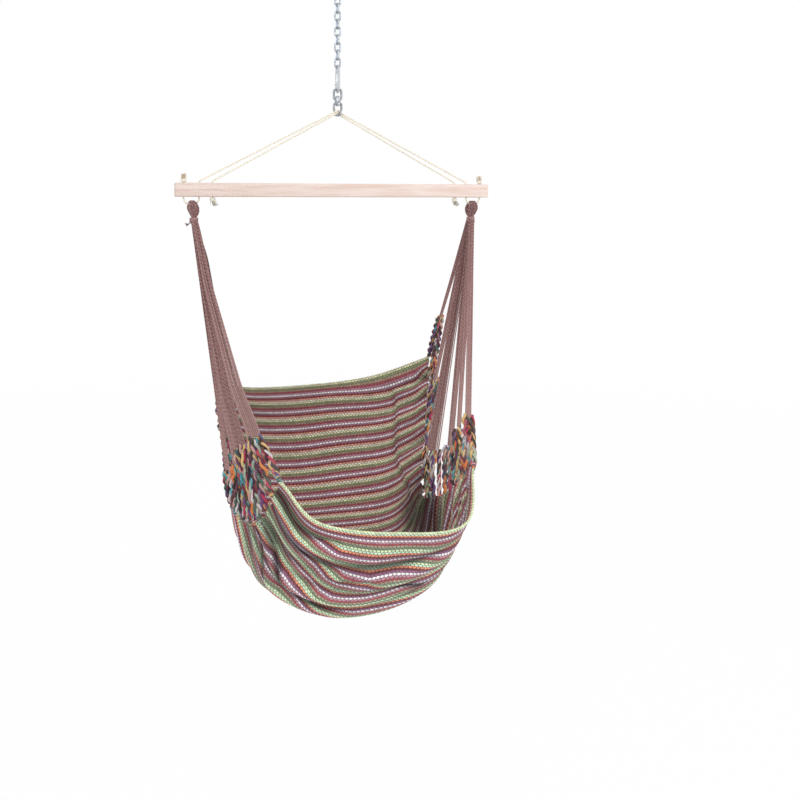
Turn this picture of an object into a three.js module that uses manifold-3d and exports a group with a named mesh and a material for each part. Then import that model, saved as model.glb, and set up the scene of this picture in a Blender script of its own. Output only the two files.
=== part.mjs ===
import * as THREE from "three";
import { mergeVertices } from "three/addons/utils/BufferGeometryUtils.js";
import Module from "manifold-3d";

const wasm = await Module();
wasm.setup();

// Millimetres, +Z up. The origin is on the ceiling plate's top face, over the bar's middle.
// X runs along the bar, and -Y is the side that the sitter's legs hang over.

// Gap left between pieces that rest on each other
const clearance = 0.3;

// Ceiling plate and its eye
const plateLength = 96;
const plateWidth = 50;
const plateThickness = 5;
const plateCornerRadius = 12;
const plateEdgeBevel = 1.2;
const plateHoleDiameter = 6.5;
const plateHoleSink = 12;
const plateHoleSpacingX = 68;
const plateHoleSpacingY = 24;
const ceilingEyeRod = 8;
const ceilingEyeInnerWidth = 16;
const ceilingEyeLeg = 10;

// Chain
const linkCount = 9;
const linkWire = 6;
const linkPitch = 24;
const linkInnerWidth = 10;

// Snap hook
const hookRod = 8;
const hookInnerLength = 75;
const hookTopInnerWidth = 15;
const hookBottomInnerWidth = 21;
const hookPivotRise = 24;
const hookNoseDrop = 22;
const hookTongue = 3;
const hookTongueLength = 7;
const hookRivet = 2.6;
const hookRivetHead = 4.4;
const hookRivetHeadHeight = 1;
const gateBore = 5.2;
const gateSpringWire = 0.8;
const gateSpringDiameter = 4.2;
const gateSpringCurls = 7;
const gateSpringLength = 15;

// Swivel
const swivelRod = 7;
const swivelWidth = 31;
const swivelUpperHeight = 38.3;
const swivelCornerRadius = 5;
const swivelBossDiameter = 19;
const swivelBossHeight = 9;
const swivelWasherDiameter = 17;
const swivelWasherThickness = 2.4;
const swivelPinDiameter = 8;
const swivelPinHeadDiameter = 15;
const swivelPinHeadHeight = 6;
const swivelLowerHeight = 45;
const swivelLowerTipWidth = 15;

// Spreader bar
const barLength = 1000;
const barHeight = 42;
const barDepth = 26;
const barEdgeRadius = 5;
const barHoleDiameter = 8.5;
const knotHoleInset = 26;
const loopHoleInset = 72;
const ropeHoleInset = 112;
const apexRise = 231.5;

// Ropes
const ropeDiameter = 6;
const ropeCrossing = 15;
const ropeCrossingReach = 12;
const ropeCrossingDrop = 5;
const ropeStackGap = 0.9;
// Play over the swivel's eye and under the sling's eyes, which swing there
const ropePlay = 0.5;
const ropeBend = 10;
const ropeExitRise = 5;
const ropeExitBend = 6;
const ropeLoopDrop = 21.3;
const loopBendShare = 0.75;
const knotRadius = 5.4;
const knotTurnRise = 4.2;
const knotWaveShare = 0.4;
const knotTailLength = 13;
const knotTailSpread = 4.4;

// Eyes of the sling and their bindings
const eyeThickness = 9;
const eyeLegShare = 0.88;
const eyeTopWidth = 16;
const eyeMiddleWidth = 35;
const eyeNeckWidth = 16;
const eyeNeckShare = 0.8;
const eyeLean = 6;
const eyeLeanShare = 0.62;
const eyeHeight = 57;
const eyeOuterDepth = 37;
const bindingSlack = 0.8;
const bindingWall = 1.5;
const bindingHeight = 19;
const eyeSlide = 1.5;

// Cord groups and braids
const groupCount = 7;
const groupThickness = 2.7;
const groupPitch = 3.1;
const groupEndWidth = 42;
const groupEndThickness = 8;
const groupOuterWidth = 6.94;
// How wide each group has spread at its end, from the back corner to the front corner, as shares of groupEndWidth
const leftWidthShares = [0.4, 0.6, 0.6, 0.55, 0.45, 0.9, 1];
const rightWidthShares = [0.25, 0.3, 0.6, 0.8, 0.45, 0.35, 0.5];
// Where each group's line to the eye starts on the cloth's side edge, from the back corner to the front corner
const leftAnchorShares = [0, 0.17, 0.33, 0.5, 0.66, 0.8, 0.92];
const rightAnchorShares = [0, 0.16, 0.38, 0.49, 0.6, 0.74, 0.93];
const braidLength = 158;
// How long each group's braids are, from the back corner to the front corner, as shares of braidLength
const leftBraidShares = [1, 1, 0.9, 0.85, 1.1, 1.45, 1.27];
const rightBraidShares = [1, 1, 1, 1, 1, 1.15, 1.1];
const braidStrands = 3;
const braidSpread = 11;
const braidDiameter = 20;
const braidEndDiameter = 12;
const braidLumps = 2;
const braidLumpDepth = 2.4;

// Cloth: its half width at the sides, its depth from the bar to the front, and its drop under the bar
const clothHalfWidth = 340;
const clothDepth = 560;
const clothDrop = 1245;
const clothThickness = 4;
const pleatDepth = 9;
const pleatReach = 90;
const foldDepth = 13;
const foldCount = 3.2;
const foldSlantShare = 0.55;

// Cloth's net, from the back's top edge to the front rim and from left to right: shares of its half width,
// of its depth and of its drop.
const clothNetShares = [
  [
    [-0.929, 0.489, 0.506], [-0.518, 0.641, 0.532], [0.071, 0.721, 0.537],
    [0.682, 0.677, 0.518], [1.2, 0.489, 0.456],
  ],
  [
    [-0.944, 0.471, 0.602], [-0.591, 0.659, 0.667], [0.041, 0.743, 0.687],
    [0.694, 0.641, 0.655], [1.156, 0.445, 0.59],
  ],
  [
    [-0.889, 0.391, 0.691], [-0.709, 0.543, 0.791], [0.012, 0.623, 0.827],
    [0.703, 0.525, 0.803], [1.056, 0.364, 0.723],
  ],
  [
    [-0.921, 0.221, 0.751], [-0.772, 0.311, 0.884], [-0.032, 0.364, 0.924],
    [0.711, 0.302, 0.904], [0.962, 0.221, 0.803],
  ],
  [
    [-0.925, 0.043, 0.771], [-0.757, 0.061, 0.922], [-0.047, 0.061, 0.976],
    [0.728, 0.061, 0.937], [0.928, 0.043, 0.789],
  ],
  [
    [-0.912, -0.171, 0.767], [-0.74, -0.225, 0.926], [-0.123, -0.27, 0.994],
    [0.724, -0.225, 0.94], [0.934, -0.171, 0.753],
  ],
  [
    [-0.897, -0.386, 0.747], [-0.734, -0.511, 0.879], [-0.136, -0.582, 0.937],
    [0.664, -0.493, 0.888], [0.93, -0.35, 0.707],
  ],
  [
    [-0.867, -0.582, 0.707], [-0.664, -0.725, 0.793], [-0.1, -0.823, 0.835],
    [0.637, -0.707, 0.804], [0.881, -0.546, 0.662],
  ],
  [
    [-0.814, -0.743, 0.614], [-0.578, -0.921, 0.683], [-0.045, -0.993, 0.707],
    [0.641, -0.859, 0.724], [0.8, -0.743, 0.616],
  ],
];

// Counts and a tolerance that only set how finely a form is cut
const seamTolerance = 0.01;
const roundSides = 8;
const bowSteps = 5;
const clothColumns = 18;
const clothRows = 28;

// Half sizes and places that follow from the sizes above
const linkRadius = linkWire / 2;
const ropeRadius = ropeDiameter / 2;
const hookRadius = hookRod / 2;
const swivelRadius = swivelRod / 2;
const eyeRodRadius = ceilingEyeRod / 2;
const linkBowRadius = (linkInnerWidth + linkWire) / 2;
const linkBowHeight = (linkPitch + clearance + linkWire) / 2;
const ceilingBowRadius = (ceilingEyeInnerWidth + ceilingEyeRod) / 2;
const ceilingBowZ = -plateThickness - clearance - ceilingEyeLeg - ceilingBowRadius;
const firstLinkZ = ceilingBowZ + eyeRodRadius + clearance + linkRadius - linkBowHeight;
const lastLinkZ = firstLinkZ - (linkCount - 1) * linkPitch;
const hookHalfHeight = (hookInnerLength + hookRod) / 2;
const hookTopZ = lastLinkZ - linkBowHeight + linkRadius + clearance + hookRadius;
const hookZ = hookTopZ - hookHalfHeight;
const hookBottomZ = hookZ - hookHalfHeight;
const swivelTopZ = hookBottomZ + hookRadius + clearance + swivelRadius;
const swivelUpperBossZ = swivelTopZ + swivelRadius - swivelUpperHeight;
const swivelWasherZ = swivelUpperBossZ - clearance - swivelWasherThickness;
const swivelLowerBossZ = swivelWasherZ - clearance - swivelBossHeight;
const swivelTipZ = swivelLowerBossZ + swivelBossHeight - swivelLowerHeight + swivelRadius;
const barZ = swivelTipZ - apexRise;
const barTopZ = barZ + barHeight / 2;
const barUnderZ = barZ - barHeight / 2;
const eyeX = barLength / 2 - (knotHoleInset + loopHoleInset) / 2 - eyeSlide;
const loopBend = ((loopHoleInset - knotHoleInset) / 2) * loopBendShare;
const knotRise = knotTurnRise + ropeRadius * (1 + knotWaveShare) + clearance;
const loopZ = barUnderZ - ropeLoopDrop;
const eyeTopZ = loopZ + ropeRadius + ropePlay + eyeThickness / 2;
const eyeEndZ = eyeTopZ - eyeHeight;
const bindingZ = eyeEndZ - bindingHeight / 2;
const groupTopZ = eyeEndZ - clearance;
const neckX = eyeX - eyeLean;
const groupOuterY = ((groupCount - 1) / 2) * groupPitch + groupThickness / 2;
const groupRadius = Math.hypot(groupOuterY, groupOuterWidth / 2);
const bindingDiameter = 2 * (groupRadius + bindingSlack + bindingWall);

// Materials
const paint = (name, color, metalness, roughness) =>
  new THREE.MeshStandardMaterial({ name, color, metalness, roughness });
const galvanised = paint("galvanised", 0xc4cacf, 0.9, 0.4);
const darkSteel = paint("dark_steel", 0x8b8f94, 0.9, 0.35);
const pinkWood = paint("wood", 0xe9d3c5, 0, 0.6);
const creamRope = paint("cream_rope", 0xece4cf, 0, 0.9);
const mauveCord = paint("mauve_cord", 0x97787a, 0, 0.9);
const braidYarn = paint("braid_yarn", 0x7a5a63, 0, 0.9);
const stripedCloth = paint("striped_cloth", 0x9a8a80, 0, 0.95);

const root = new THREE.Group();
root.name = "hammock_chair";

// Shared tools for building solids

// A vector from three numbers.
function at(x, y, z) {
  return new THREE.Vector3(x, y, z);
}

// A geometry as a manifold solid, turned outwards if its faces point in.
function solidFrom(positions, indices) {
  const geometry = new THREE.BufferGeometry();
  geometry.setAttribute("position", new THREE.Float32BufferAttribute(positions, 3));
  geometry.setIndex(indices);
  const merged = mergeVertices(geometry, 1e-4);
  const p = merged.attributes.position.array;
  const t = new Uint32Array(merged.index.array);
  let sixVolumes = 0;
  for (let i = 0; i < t.length; i += 3) {
    const a = at(p[3 * t[i]], p[3 * t[i] + 1], p[3 * t[i] + 2]);
    const b = at(p[3 * t[i + 1]], p[3 * t[i + 1] + 1], p[3 * t[i + 1] + 2]);
    const c = at(p[3 * t[i + 2]], p[3 * t[i + 2] + 1], p[3 * t[i + 2] + 2]);
    sixVolumes += a.dot(b.cross(c));
  }
  if (sixVolumes < 0) {
    for (let i = 0; i < t.length; i += 3) {
      [t[i + 1], t[i + 2]] = [t[i + 2], t[i + 1]];
    }
  }
  return new wasm.Manifold(new wasm.Mesh({ numProp: 3, vertProperties: p, triVerts: t }));
}

// A three.js solid, such as a box, lathe or extrusion, as a manifold solid.
function solidOf(geometry) {
  geometry.deleteAttribute("normal");
  geometry.deleteAttribute("uv");
  const merged = mergeVertices(geometry, 1e-4);
  return solidFrom(Array.from(merged.attributes.position.array), Array.from(merged.index.array));
}

// A solid added to the part as a named node.
function addNode(name, solid, material) {
  const mesh = solid.simplify(seamTolerance).getMesh();
  const geometry = new THREE.BufferGeometry();
  const positions = [];
  for (let i = 0; i < mesh.numVert; i += 1) {
    const start = i * mesh.numProp;
    positions.push(...mesh.vertProperties.subarray(start, start + 3));
  }
  geometry.setAttribute("position", new THREE.Float32BufferAttribute(positions, 3));
  geometry.setIndex(Array.from(mesh.triVerts));
  geometry.computeVertexNormals();
  const node = new THREE.Mesh(geometry, material);
  node.name = name;
  root.add(node);
}

// The path through corner points with each corner rounded to its own radius.
function roundedPath(corners, steps) {
  const path = [corners[0].point.clone()];
  for (let i = 1; i < corners.length - 1; i += 1) {
    const { point, radius } = corners[i];
    const back = corners[i - 1].point.clone().sub(point).normalize();
    const on = corners[i + 1].point.clone().sub(point).normalize();
    const half = back.angleTo(on) / 2;
    if (!radius || half > Math.PI / 2 - 1e-3) {
      path.push(point.clone());
      continue;
    }
    const centre = back.clone().add(on).normalize().multiplyScalar(radius / Math.sin(half)).add(point);
    const start = back.clone().multiplyScalar(radius / Math.tan(half)).add(point).sub(centre);
    const end = on.clone().multiplyScalar(radius / Math.tan(half)).add(point).sub(centre);
    const sweep = start.angleTo(end);
    for (let k = 0; k <= steps; k += 1) {
      const share = k / steps;
      const a = Math.sin((1 - share) * sweep) / Math.sin(sweep);
      const b = Math.sin(share * sweep) / Math.sin(sweep);
      path.push(start.clone().multiplyScalar(a).addScaledVector(end, b).add(centre));
    }
  }
  path.push(corners[corners.length - 1].point.clone());
  return path;
}

// A rod along a path. halfSizes gives the section's two half widths at a share of the path, the first of
// them across the side direction.
function rodAlong(path, halfSizes, side, sides = roundSides, closed = false) {
  const count = path.length;
  const positions = [];
  const indices = [];
  let across = side.clone().normalize();
  for (let i = 0; i < count; i += 1) {
    const before = path[closed ? (i + count - 1) % count : Math.max(i - 1, 0)];
    const after = path[closed ? (i + 1) % count : Math.min(i + 1, count - 1)];
    const along = after.clone().sub(before).normalize();
    across = across.clone().addScaledVector(along, -across.dot(along)).normalize();
    const up = along.clone().cross(across);
    const [a, b] = halfSizes(closed ? i / count : i / (count - 1));
    for (let k = 0; k < sides; k += 1) {
      const angle = (2 * Math.PI * (k + 0.5)) / sides;
      const corner = path[i].clone();
      corner.addScaledVector(across, a * Math.cos(angle));
      corner.addScaledVector(up, b * Math.sin(angle));
      positions.push(corner.x, corner.y, corner.z);
    }
  }
  const rings = closed ? count : count - 1;
  for (let i = 0; i < rings; i += 1) {
    const next = (i + 1) % count;
    for (let k = 0; k < sides; k += 1) {
      const a = i * sides + k;
      const b = i * sides + ((k + 1) % sides);
      const c = next * sides + ((k + 1) % sides);
      const d = next * sides + k;
      indices.push(a, b, c, a, c, d);
    }
  }
  if (!closed) {
    const last = (count - 1) * sides;
    for (let k = 1; k < sides - 1; k += 1) {
      indices.push(0, k + 1, k, last, last + k, last + k + 1);
    }
  }
  return solidFrom(positions, indices);
}

// A round rod of one radius.
function roundRod(path, radius, side, sides = roundSides, closed = false) {
  return rodAlong(path, () => [radius, radius], side, sides, closed);
}

// The largest of the bodies that a cut has left.
function largestBody(solid) {
  return solid.decompose().sort((a, b) => b.volume() - a.volume())[0];
}

// A box by its centre and its sizes.
function boxAt(centre, width, depth, height) {
  return solidOf(new THREE.BoxGeometry(width, depth, height).translate(centre.x, centre.y, centre.z));
}

// A cylinder by its centre, its radius and its length along X or Z.
function cylinderAt(centre, radius, length, axis = "z", sides = 20) {
  const geometry = new THREE.CylinderGeometry(radius, radius, length, sides);
  if (axis === "z") {
    geometry.rotateX(Math.PI / 2);
  } else {
    geometry.rotateZ(Math.PI / 2);
  }
  return solidOf(geometry.translate(centre.x, centre.y, centre.z));
}

// Ceiling plate: rounded corners, a bevelled edge and four countersunk screw holes
function ceilingPlate() {
  const x = plateLength / 2 - plateEdgeBevel;
  const y = plateWidth / 2 - plateEdgeBevel;
  const r = plateCornerRadius - plateEdgeBevel;
  const outline = new THREE.Shape();
  outline.absarc(x - r, y - r, r, 0, Math.PI / 2);
  outline.absarc(-x + r, y - r, r, Math.PI / 2, Math.PI);
  outline.absarc(-x + r, -y + r, r, Math.PI, 1.5 * Math.PI);
  outline.absarc(x - r, -y + r, r, 1.5 * Math.PI, 2 * Math.PI);
  const geometry = new THREE.ExtrudeGeometry(outline, {
    depth: plateThickness,
    bevelThickness: plateEdgeBevel,
    bevelSize: plateEdgeBevel,
    bevelSegments: 1,
    curveSegments: 5,
  });
  let plate = solidOf(geometry.translate(0, 0, -plateThickness + plateEdgeBevel));
  // The bevel on the side that lies on the ceiling is cut away, so that this side is flat to its edge.
  const ceiling = boxAt(at(0, 0, plateThickness), 2 * plateLength, 2 * plateWidth, 2 * plateThickness);
  plate = plate.subtract(ceiling);
  for (const sx of [-1, 1]) {
    for (const sy of [-1, 1]) {
      plate = plate.subtract(screwHole((sx * plateHoleSpacingX) / 2, (sy * plateHoleSpacingY) / 2));
    }
  }
  return plate;
}

// One countersunk hole through the plate
function screwHole(x, y) {
  const sink = (plateHoleSink - plateHoleDiameter) / 2;
  const profile = [
    new THREE.Vector2(0, -plateThickness - plateEdgeBevel),
    new THREE.Vector2(plateHoleSink / 2, -plateThickness - plateEdgeBevel),
    new THREE.Vector2(plateHoleSink / 2, -plateThickness),
    new THREE.Vector2(plateHoleDiameter / 2, -plateThickness + sink),
    new THREE.Vector2(plateHoleDiameter / 2, plateThickness),
    new THREE.Vector2(0, plateThickness),
  ];
  const geometry = new THREE.LatheGeometry(profile, 16).rotateX(Math.PI / 2);
  return solidOf(geometry.translate(x, y, 0));
}

// Ceiling eye: a bent rod under the plate, across the first link
function ceilingEye() {
  const top = -plateThickness - clearance;
  const corners = [
    { point: at(0, -ceilingBowRadius, top) },
    { point: at(0, -ceilingBowRadius, ceilingBowZ), radius: ceilingBowRadius },
    { point: at(0, ceilingBowRadius, ceilingBowZ), radius: ceilingBowRadius },
    { point: at(0, ceilingBowRadius, top) },
  ];
  return roundRod(roundedPath(corners, bowSteps), eyeRodRadius, at(1, 0, 0));
}

// One chain link, flat in the XZ plane or turned into the YZ plane
function chainLink(centreZ, turned) {
  const path = [];
  const straight = linkBowHeight - linkBowRadius;
  for (const [bow, start] of [[straight, 0], [-straight, Math.PI]]) {
    for (let k = 0; k <= bowSteps; k += 1) {
      const angle = start + (Math.PI * k) / bowSteps;
      const across = linkBowRadius * Math.cos(angle);
      const z = centreZ + bow + linkBowRadius * Math.sin(angle);
      path.push(turned ? at(0, across, z) : at(across, 0, z));
    }
  }
  const side = turned ? at(1, 0, 0) : at(0, 1, 0);
  return roundRod(path, linkRadius, side, roundSides, true);
}

// Snap hook: half width of its centre line at a height over its middle
const hookTopBow = (hookTopInnerWidth + hookRod) / 2;
const hookBottomBow = (hookBottomInnerWidth + hookRod) / 2;
const hookPivotZ = hookBottomZ + hookPivotRise;
const hookNoseZ = hookTopZ - hookNoseDrop;

function hookSideY(z) {
  const low = hookBottomZ + hookBottomBow;
  const high = hookTopZ - hookTopBow;
  return THREE.MathUtils.mapLinear(z, low, high, hookBottomBow, hookTopBow);
}

// Snap hook's body: from the gate's pivot round the bottom, the spine and the top to the nose
function snapHookBody() {
  const path = [at(0, hookSideY(hookPivotZ), hookPivotZ - hookRadius - clearance)];
  for (let k = 0; k <= 2 * bowSteps; k += 1) {
    const angle = -(Math.PI * k) / (2 * bowSteps);
    const z = hookBottomZ + hookBottomBow + hookBottomBow * Math.sin(angle);
    path.push(at(0, hookBottomBow * Math.cos(angle), z));
  }
  for (let k = 0; k <= 2 * bowSteps; k += 1) {
    const angle = Math.PI - (Math.PI * k) / (2 * bowSteps);
    const z = hookTopZ - hookTopBow + hookTopBow * Math.sin(angle);
    path.push(at(0, hookTopBow * Math.cos(angle), z));
  }
  path.push(at(0, hookSideY(hookNoseZ), hookNoseZ + clearance));
  let body = roundRod(path, hookRadius, at(1, 0, 0));
  const tongueWidth = hookRod - 2 * hookRivetHeadHeight;
  const pivot = at(0, hookSideY(hookPivotZ), hookPivotZ);
  const lowTongue = boxAt(pivot.clone().setZ(hookPivotZ - hookRadius / 2), hookTongue, tongueWidth, hookRod);
  const nose = at(0, hookSideY(hookNoseZ), hookNoseZ);
  const highTongue = boxAt(nose, hookTongue, tongueWidth, hookTongueLength);
  body = body.add(lowTongue).add(highTongue);
  return body.subtract(cylinderAt(pivot, hookRivet / 2 + clearance, hookRod, "x", 16));
}

// Gate: a rod with a slot for each tongue, a bore for its spring and rivet holes
function snapHookGate() {
  const pivot = at(0, hookSideY(hookPivotZ), hookPivotZ);
  const nose = at(0, hookSideY(hookNoseZ), hookNoseZ);
  let gate = roundRod([pivot, nose], hookRadius, at(1, 0, 0), 12);
  gate = gate.add(solidOf(new THREE.SphereGeometry(hookRadius, 12, 8).translate(0, pivot.y, pivot.z)));
  const slot = hookTongue + 2 * clearance;
  const reach = hookTongueLength / 2 + clearance;
  const lowSlotHeight = 2 * hookRod;
  const lowSlotZ = hookPivotZ + hookRadius / 2 + 2 * clearance - lowSlotHeight / 2 + hookRadius / 2;
  gate = gate.subtract(boxAt(at(0, pivot.y, lowSlotZ), slot, 2 * hookRod, lowSlotHeight));
  gate = gate.subtract(boxAt(at(0, nose.y, hookNoseZ), slot, 2 * hookRod, 2 * reach));
  const boreLength = gateSpringLength + 2 * clearance;
  const boreZ = hookPivotZ + hookRadius + 2 * clearance + boreLength / 2 - clearance;
  gate = gate.subtract(cylinderAt(gateAxisPoint(boreZ), gateBore / 2, boreLength, "z", 12));
  return gate.subtract(cylinderAt(pivot, hookRivet / 2 + clearance, 2 * hookRod, "x", 16));
}

// The point of the gate's axis at a height
function gateAxisPoint(z) {
  return at(0, hookSideY(z), z);
}

// Gate spring: one unbroken coil in the gate's bore
function gateSpring() {
  const path = [];
  const steps = 8;
  const startZ = hookPivotZ + hookRadius + 2 * clearance + gateSpringWire;
  const rise = gateSpringLength - 2 * gateSpringWire;
  const radius = (gateSpringDiameter - gateSpringWire) / 2;
  const middle = gateAxisPoint(startZ + rise / 2);
  for (let i = 0; i <= gateSpringCurls * steps; i += 1) {
    const angle = (2 * Math.PI * i) / steps;
    const z = startZ + (rise * i) / (gateSpringCurls * steps);
    path.push(at(radius * Math.cos(angle), middle.y + radius * Math.sin(angle), z));
  }
  let least = Infinity;
  for (let i = 0; i < path.length; i += 1) {
    for (let k = i + steps - 2; k < path.length; k += 1) {
      least = Math.min(least, path[i].distanceTo(path[k]) - gateSpringWire);
    }
  }
  console.log("gate spring: least gap to itself " + least.toFixed(2) + " mm");
  return roundRod(path, gateSpringWire / 2, at(0, 0, 1), 5);
}

// Rivet with a head on each side of the gate
function gateRivet() {
  const pivot = gateAxisPoint(hookPivotZ);
  const shank = hookRod + 2 * clearance;
  const headX = shank / 2 + hookRivetHeadHeight / 2;
  let rivet = cylinderAt(pivot, hookRivet / 2, shank + hookRivetHeadHeight, "x", 16);
  for (const side of [-1, 1]) {
    const centre = pivot.clone().setX(side * headX);
    rivet = rivet.add(cylinderAt(centre, hookRivetHead / 2, hookRivetHeadHeight, "x", 16));
  }
  return rivet;
}

// Swivel's upper eye: a squared bow on a bored boss
function swivelUpperEye() {
  const x = swivelWidth / 2 - swivelRadius;
  const low = swivelUpperBossZ + swivelBossHeight / 2;
  const corners = [
    { point: at(-swivelBossDiameter / 4, 0, low) },
    { point: at(-x, 0, low), radius: swivelCornerRadius },
    { point: at(-x, 0, swivelTopZ), radius: swivelCornerRadius },
    { point: at(x, 0, swivelTopZ), radius: swivelCornerRadius },
    { point: at(x, 0, low), radius: swivelCornerRadius },
    { point: at(swivelBossDiameter / 4, 0, low) },
  ];
  const bow = roundRod(roundedPath(corners, 4), swivelRadius, at(0, 1, 0));
  return bow.add(swivelBoss(swivelUpperBossZ)).subtract(pinBore());
}

// A boss of the swivel, from its underside up
function swivelBoss(underZ) {
  return cylinderAt(at(0, 0, underZ + swivelBossHeight / 2), swivelBossDiameter / 2, swivelBossHeight);
}

// The bore for the pin through both bosses
function pinBore() {
  const length = 4 * swivelBossHeight;
  return cylinderAt(at(0, 0, swivelWasherZ), swivelPinDiameter / 2 + clearance, length);
}

// Swivel's washer
function swivelWasher() {
  const z = swivelWasherZ + swivelWasherThickness / 2;
  return cylinderAt(at(0, 0, z), swivelWasherDiameter / 2, swivelWasherThickness).subtract(pinBore());
}

// Swivel's pin: head in the upper eye and riveted foot in the lower eye
function swivelPin() {
  const top = swivelUpperBossZ + swivelBossHeight + clearance;
  const foot = swivelLowerBossZ - clearance;
  const head = swivelPinHeadDiameter / 2;
  const footHeight = swivelPinHeadHeight * 0.6;
  const profile = [
    new THREE.Vector2(0, foot - footHeight),
    new THREE.Vector2(head * 0.7, foot - footHeight),
    new THREE.Vector2(head * 0.85, foot - footHeight / 2),
    new THREE.Vector2(head * 0.85, foot),
    new THREE.Vector2(swivelPinDiameter / 2, foot),
    new THREE.Vector2(swivelPinDiameter / 2, top),
    new THREE.Vector2(head, top),
    new THREE.Vector2(head, top + swivelPinHeadHeight / 2),
    new THREE.Vector2(head * 0.6, top + swivelPinHeadHeight),
    new THREE.Vector2(0, top + swivelPinHeadHeight),
  ];
  return solidOf(new THREE.LatheGeometry(profile, 20).rotateX(Math.PI / 2));
}

// Swivel's lower eye: legs that close in to a narrow round tip
function swivelLowerEye() {
  const x = swivelWidth / 2 - swivelRadius;
  const tip = (swivelLowerTipWidth - swivelRod) / 2 + swivelRadius;
  const top = swivelLowerBossZ + swivelBossHeight / 2;
  const kneeZ = THREE.MathUtils.lerp(top, swivelTipZ, 0.45);
  const corners = [
    { point: at(-swivelBossDiameter / 4, 0, top) },
    { point: at(-x, 0, top), radius: swivelCornerRadius },
    { point: at(-x, 0, kneeZ), radius: swivelCornerRadius * 2 },
    { point: at(-tip, 0, swivelTipZ), radius: swivelCornerRadius },
    { point: at(tip, 0, swivelTipZ), radius: swivelCornerRadius },
    { point: at(x, 0, kneeZ), radius: swivelCornerRadius * 2 },
    { point: at(x, 0, top), radius: swivelCornerRadius },
    { point: at(swivelBossDiameter / 4, 0, top) },
  ];
  const bow = roundRod(roundedPath(corners, 4), swivelRadius, at(0, 1, 0));
  return bow.add(swivelBoss(swivelLowerBossZ)).subtract(pinBore());
}

// Spreader bar: rounded edges all round and six rope holes
function spreaderBar() {
  const y = barDepth / 2 - barEdgeRadius;
  const z = barHeight / 2 - barEdgeRadius;
  const outline = new THREE.Shape();
  outline.absarc(y, z, barEdgeRadius, 0, Math.PI / 2);
  outline.absarc(-y, z, barEdgeRadius, Math.PI / 2, Math.PI);
  outline.absarc(-y, -z, barEdgeRadius, Math.PI, 1.5 * Math.PI);
  outline.absarc(y, -z, barEdgeRadius, 1.5 * Math.PI, 2 * Math.PI);
  const bevel = barEdgeRadius / 2;
  const geometry = new THREE.ExtrudeGeometry(outline, {
    depth: barLength - 2 * bevel,
    bevelThickness: bevel,
    bevelSize: bevel,
    bevelOffset: -bevel,
    bevelSegments: 2,
    curveSegments: 3,
  });
  geometry.rotateX(Math.PI / 2);
  geometry.rotateZ(Math.PI / 2);
  let bar = solidOf(geometry.translate(-barLength / 2 + bevel, 0, barZ));
  for (const inset of [knotHoleInset, loopHoleInset, ropeHoleInset]) {
    for (const side of [-1, 1]) {
      const centre = at(side * (barLength / 2 - inset), 0, barZ);
      bar = bar.subtract(cylinderAt(centre, barHoleDiameter / 2, 2 * barHeight, "z", 12));
    }
  }
  return bar;
}

// A stopper knot on the bar's top (up 1) or underside (up -1): the rope's turns round itself with its short tail
function stopperKnot(start, up) {
  const path = [];
  const turns = 2;
  const steps = 7;
  for (let i = 0; i <= turns * steps; i += 1) {
    const angle = (2 * Math.PI * i) / steps;
    const rise = up * knotTurnRise * (i / steps - turns / 2);
    const wave = up * ropeRadius * knotWaveShare * Math.sin(angle);
    path.push(at(knotRadius * Math.cos(angle), knotRadius * Math.sin(angle), rise + wave));
  }
  const turn = roundRod(path, ropeRadius, at(0, 0, 1), 5);
  const tail = [
    at(0, 0, 0),
    at(ropeRadius * 0.4, 0, up * knotTailLength * 0.6),
    at(knotTailSpread, 0, up * knotTailLength),
  ];
  const fray = (share) => [ropeRadius * (0.9 + 0.4 * share), ropeRadius * (0.9 + 0.4 * share)];
  const { min, max } = turn.boundingBox();
  const seat = up > 0 ? barTopZ + clearance - min[2] : barUnderZ - clearance - max[2];
  return turn.add(rodAlong(tail, fray, at(1, 0, 0), 6)).translate(start.x, start.y, seat);
}

// The corners of a rope's left half, from its knot to the swivel's eye
function ropeToApex(route, lift) {
  const holeX = route[route.length - 1].point.x;
  const apex = swivelTipZ + swivelRadius + ropePlay + ropeRadius + lift;
  return [
    ...route,
    { point: at(holeX, 0, barTopZ + ropeExitRise), radius: ropeExitBend },
    { point: at(-ropeCrossingReach, -ropeCrossing, apex - ropeCrossingDrop), radius: ropeBend },
    { point: at(0, 0, apex + ropeRadius / 2), radius: ropeBend },
  ];
}

// A rope from its left half, turned half round the swivel's axis for its right half, with a knot at each end
function fullRope(route, lift, knotUp) {
  const left = ropeToApex(route, lift);
  const right = left.slice(0, -1).reverse();
  const turnedHalf = right.map(({ point, radius }) => ({ point: at(-point.x, -point.y, point.z), radius }));
  let rope = roundRod(roundedPath([...left, ...turnedHalf], 3), ropeRadius, at(0, 1, 0), 6);
  const start = left[0].point;
  rope = rope.add(stopperKnot(start, knotUp));
  return largestBody(rope.add(stopperKnot(at(-start.x, -start.y, start.z), knotUp)));
}

// Outer rope: knot over the bar, down, round under the sling's eye, up, and over the inner rope
function outerRope() {
  const knotX = -barLength / 2 + knotHoleInset;
  const holeX = -barLength / 2 + loopHoleInset;
  const route = [
    { point: at(knotX, 0, barTopZ + knotRise) },
    { point: at(knotX, 0, loopZ), radius: loopBend },
    { point: at(holeX, 0, loopZ), radius: loopBend },
  ];
  return fullRope(route, ropeDiameter + ropeStackGap, 1);
}

// Inner rope: knot under the bar, up, and through the swivel's lower eye
function innerRope() {
  const holeX = -barLength / 2 + ropeHoleInset;
  const route = [{ point: at(holeX, 0, barUnderZ - knotRise) }];
  return fullRope(route, 0, -1);
}

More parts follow.
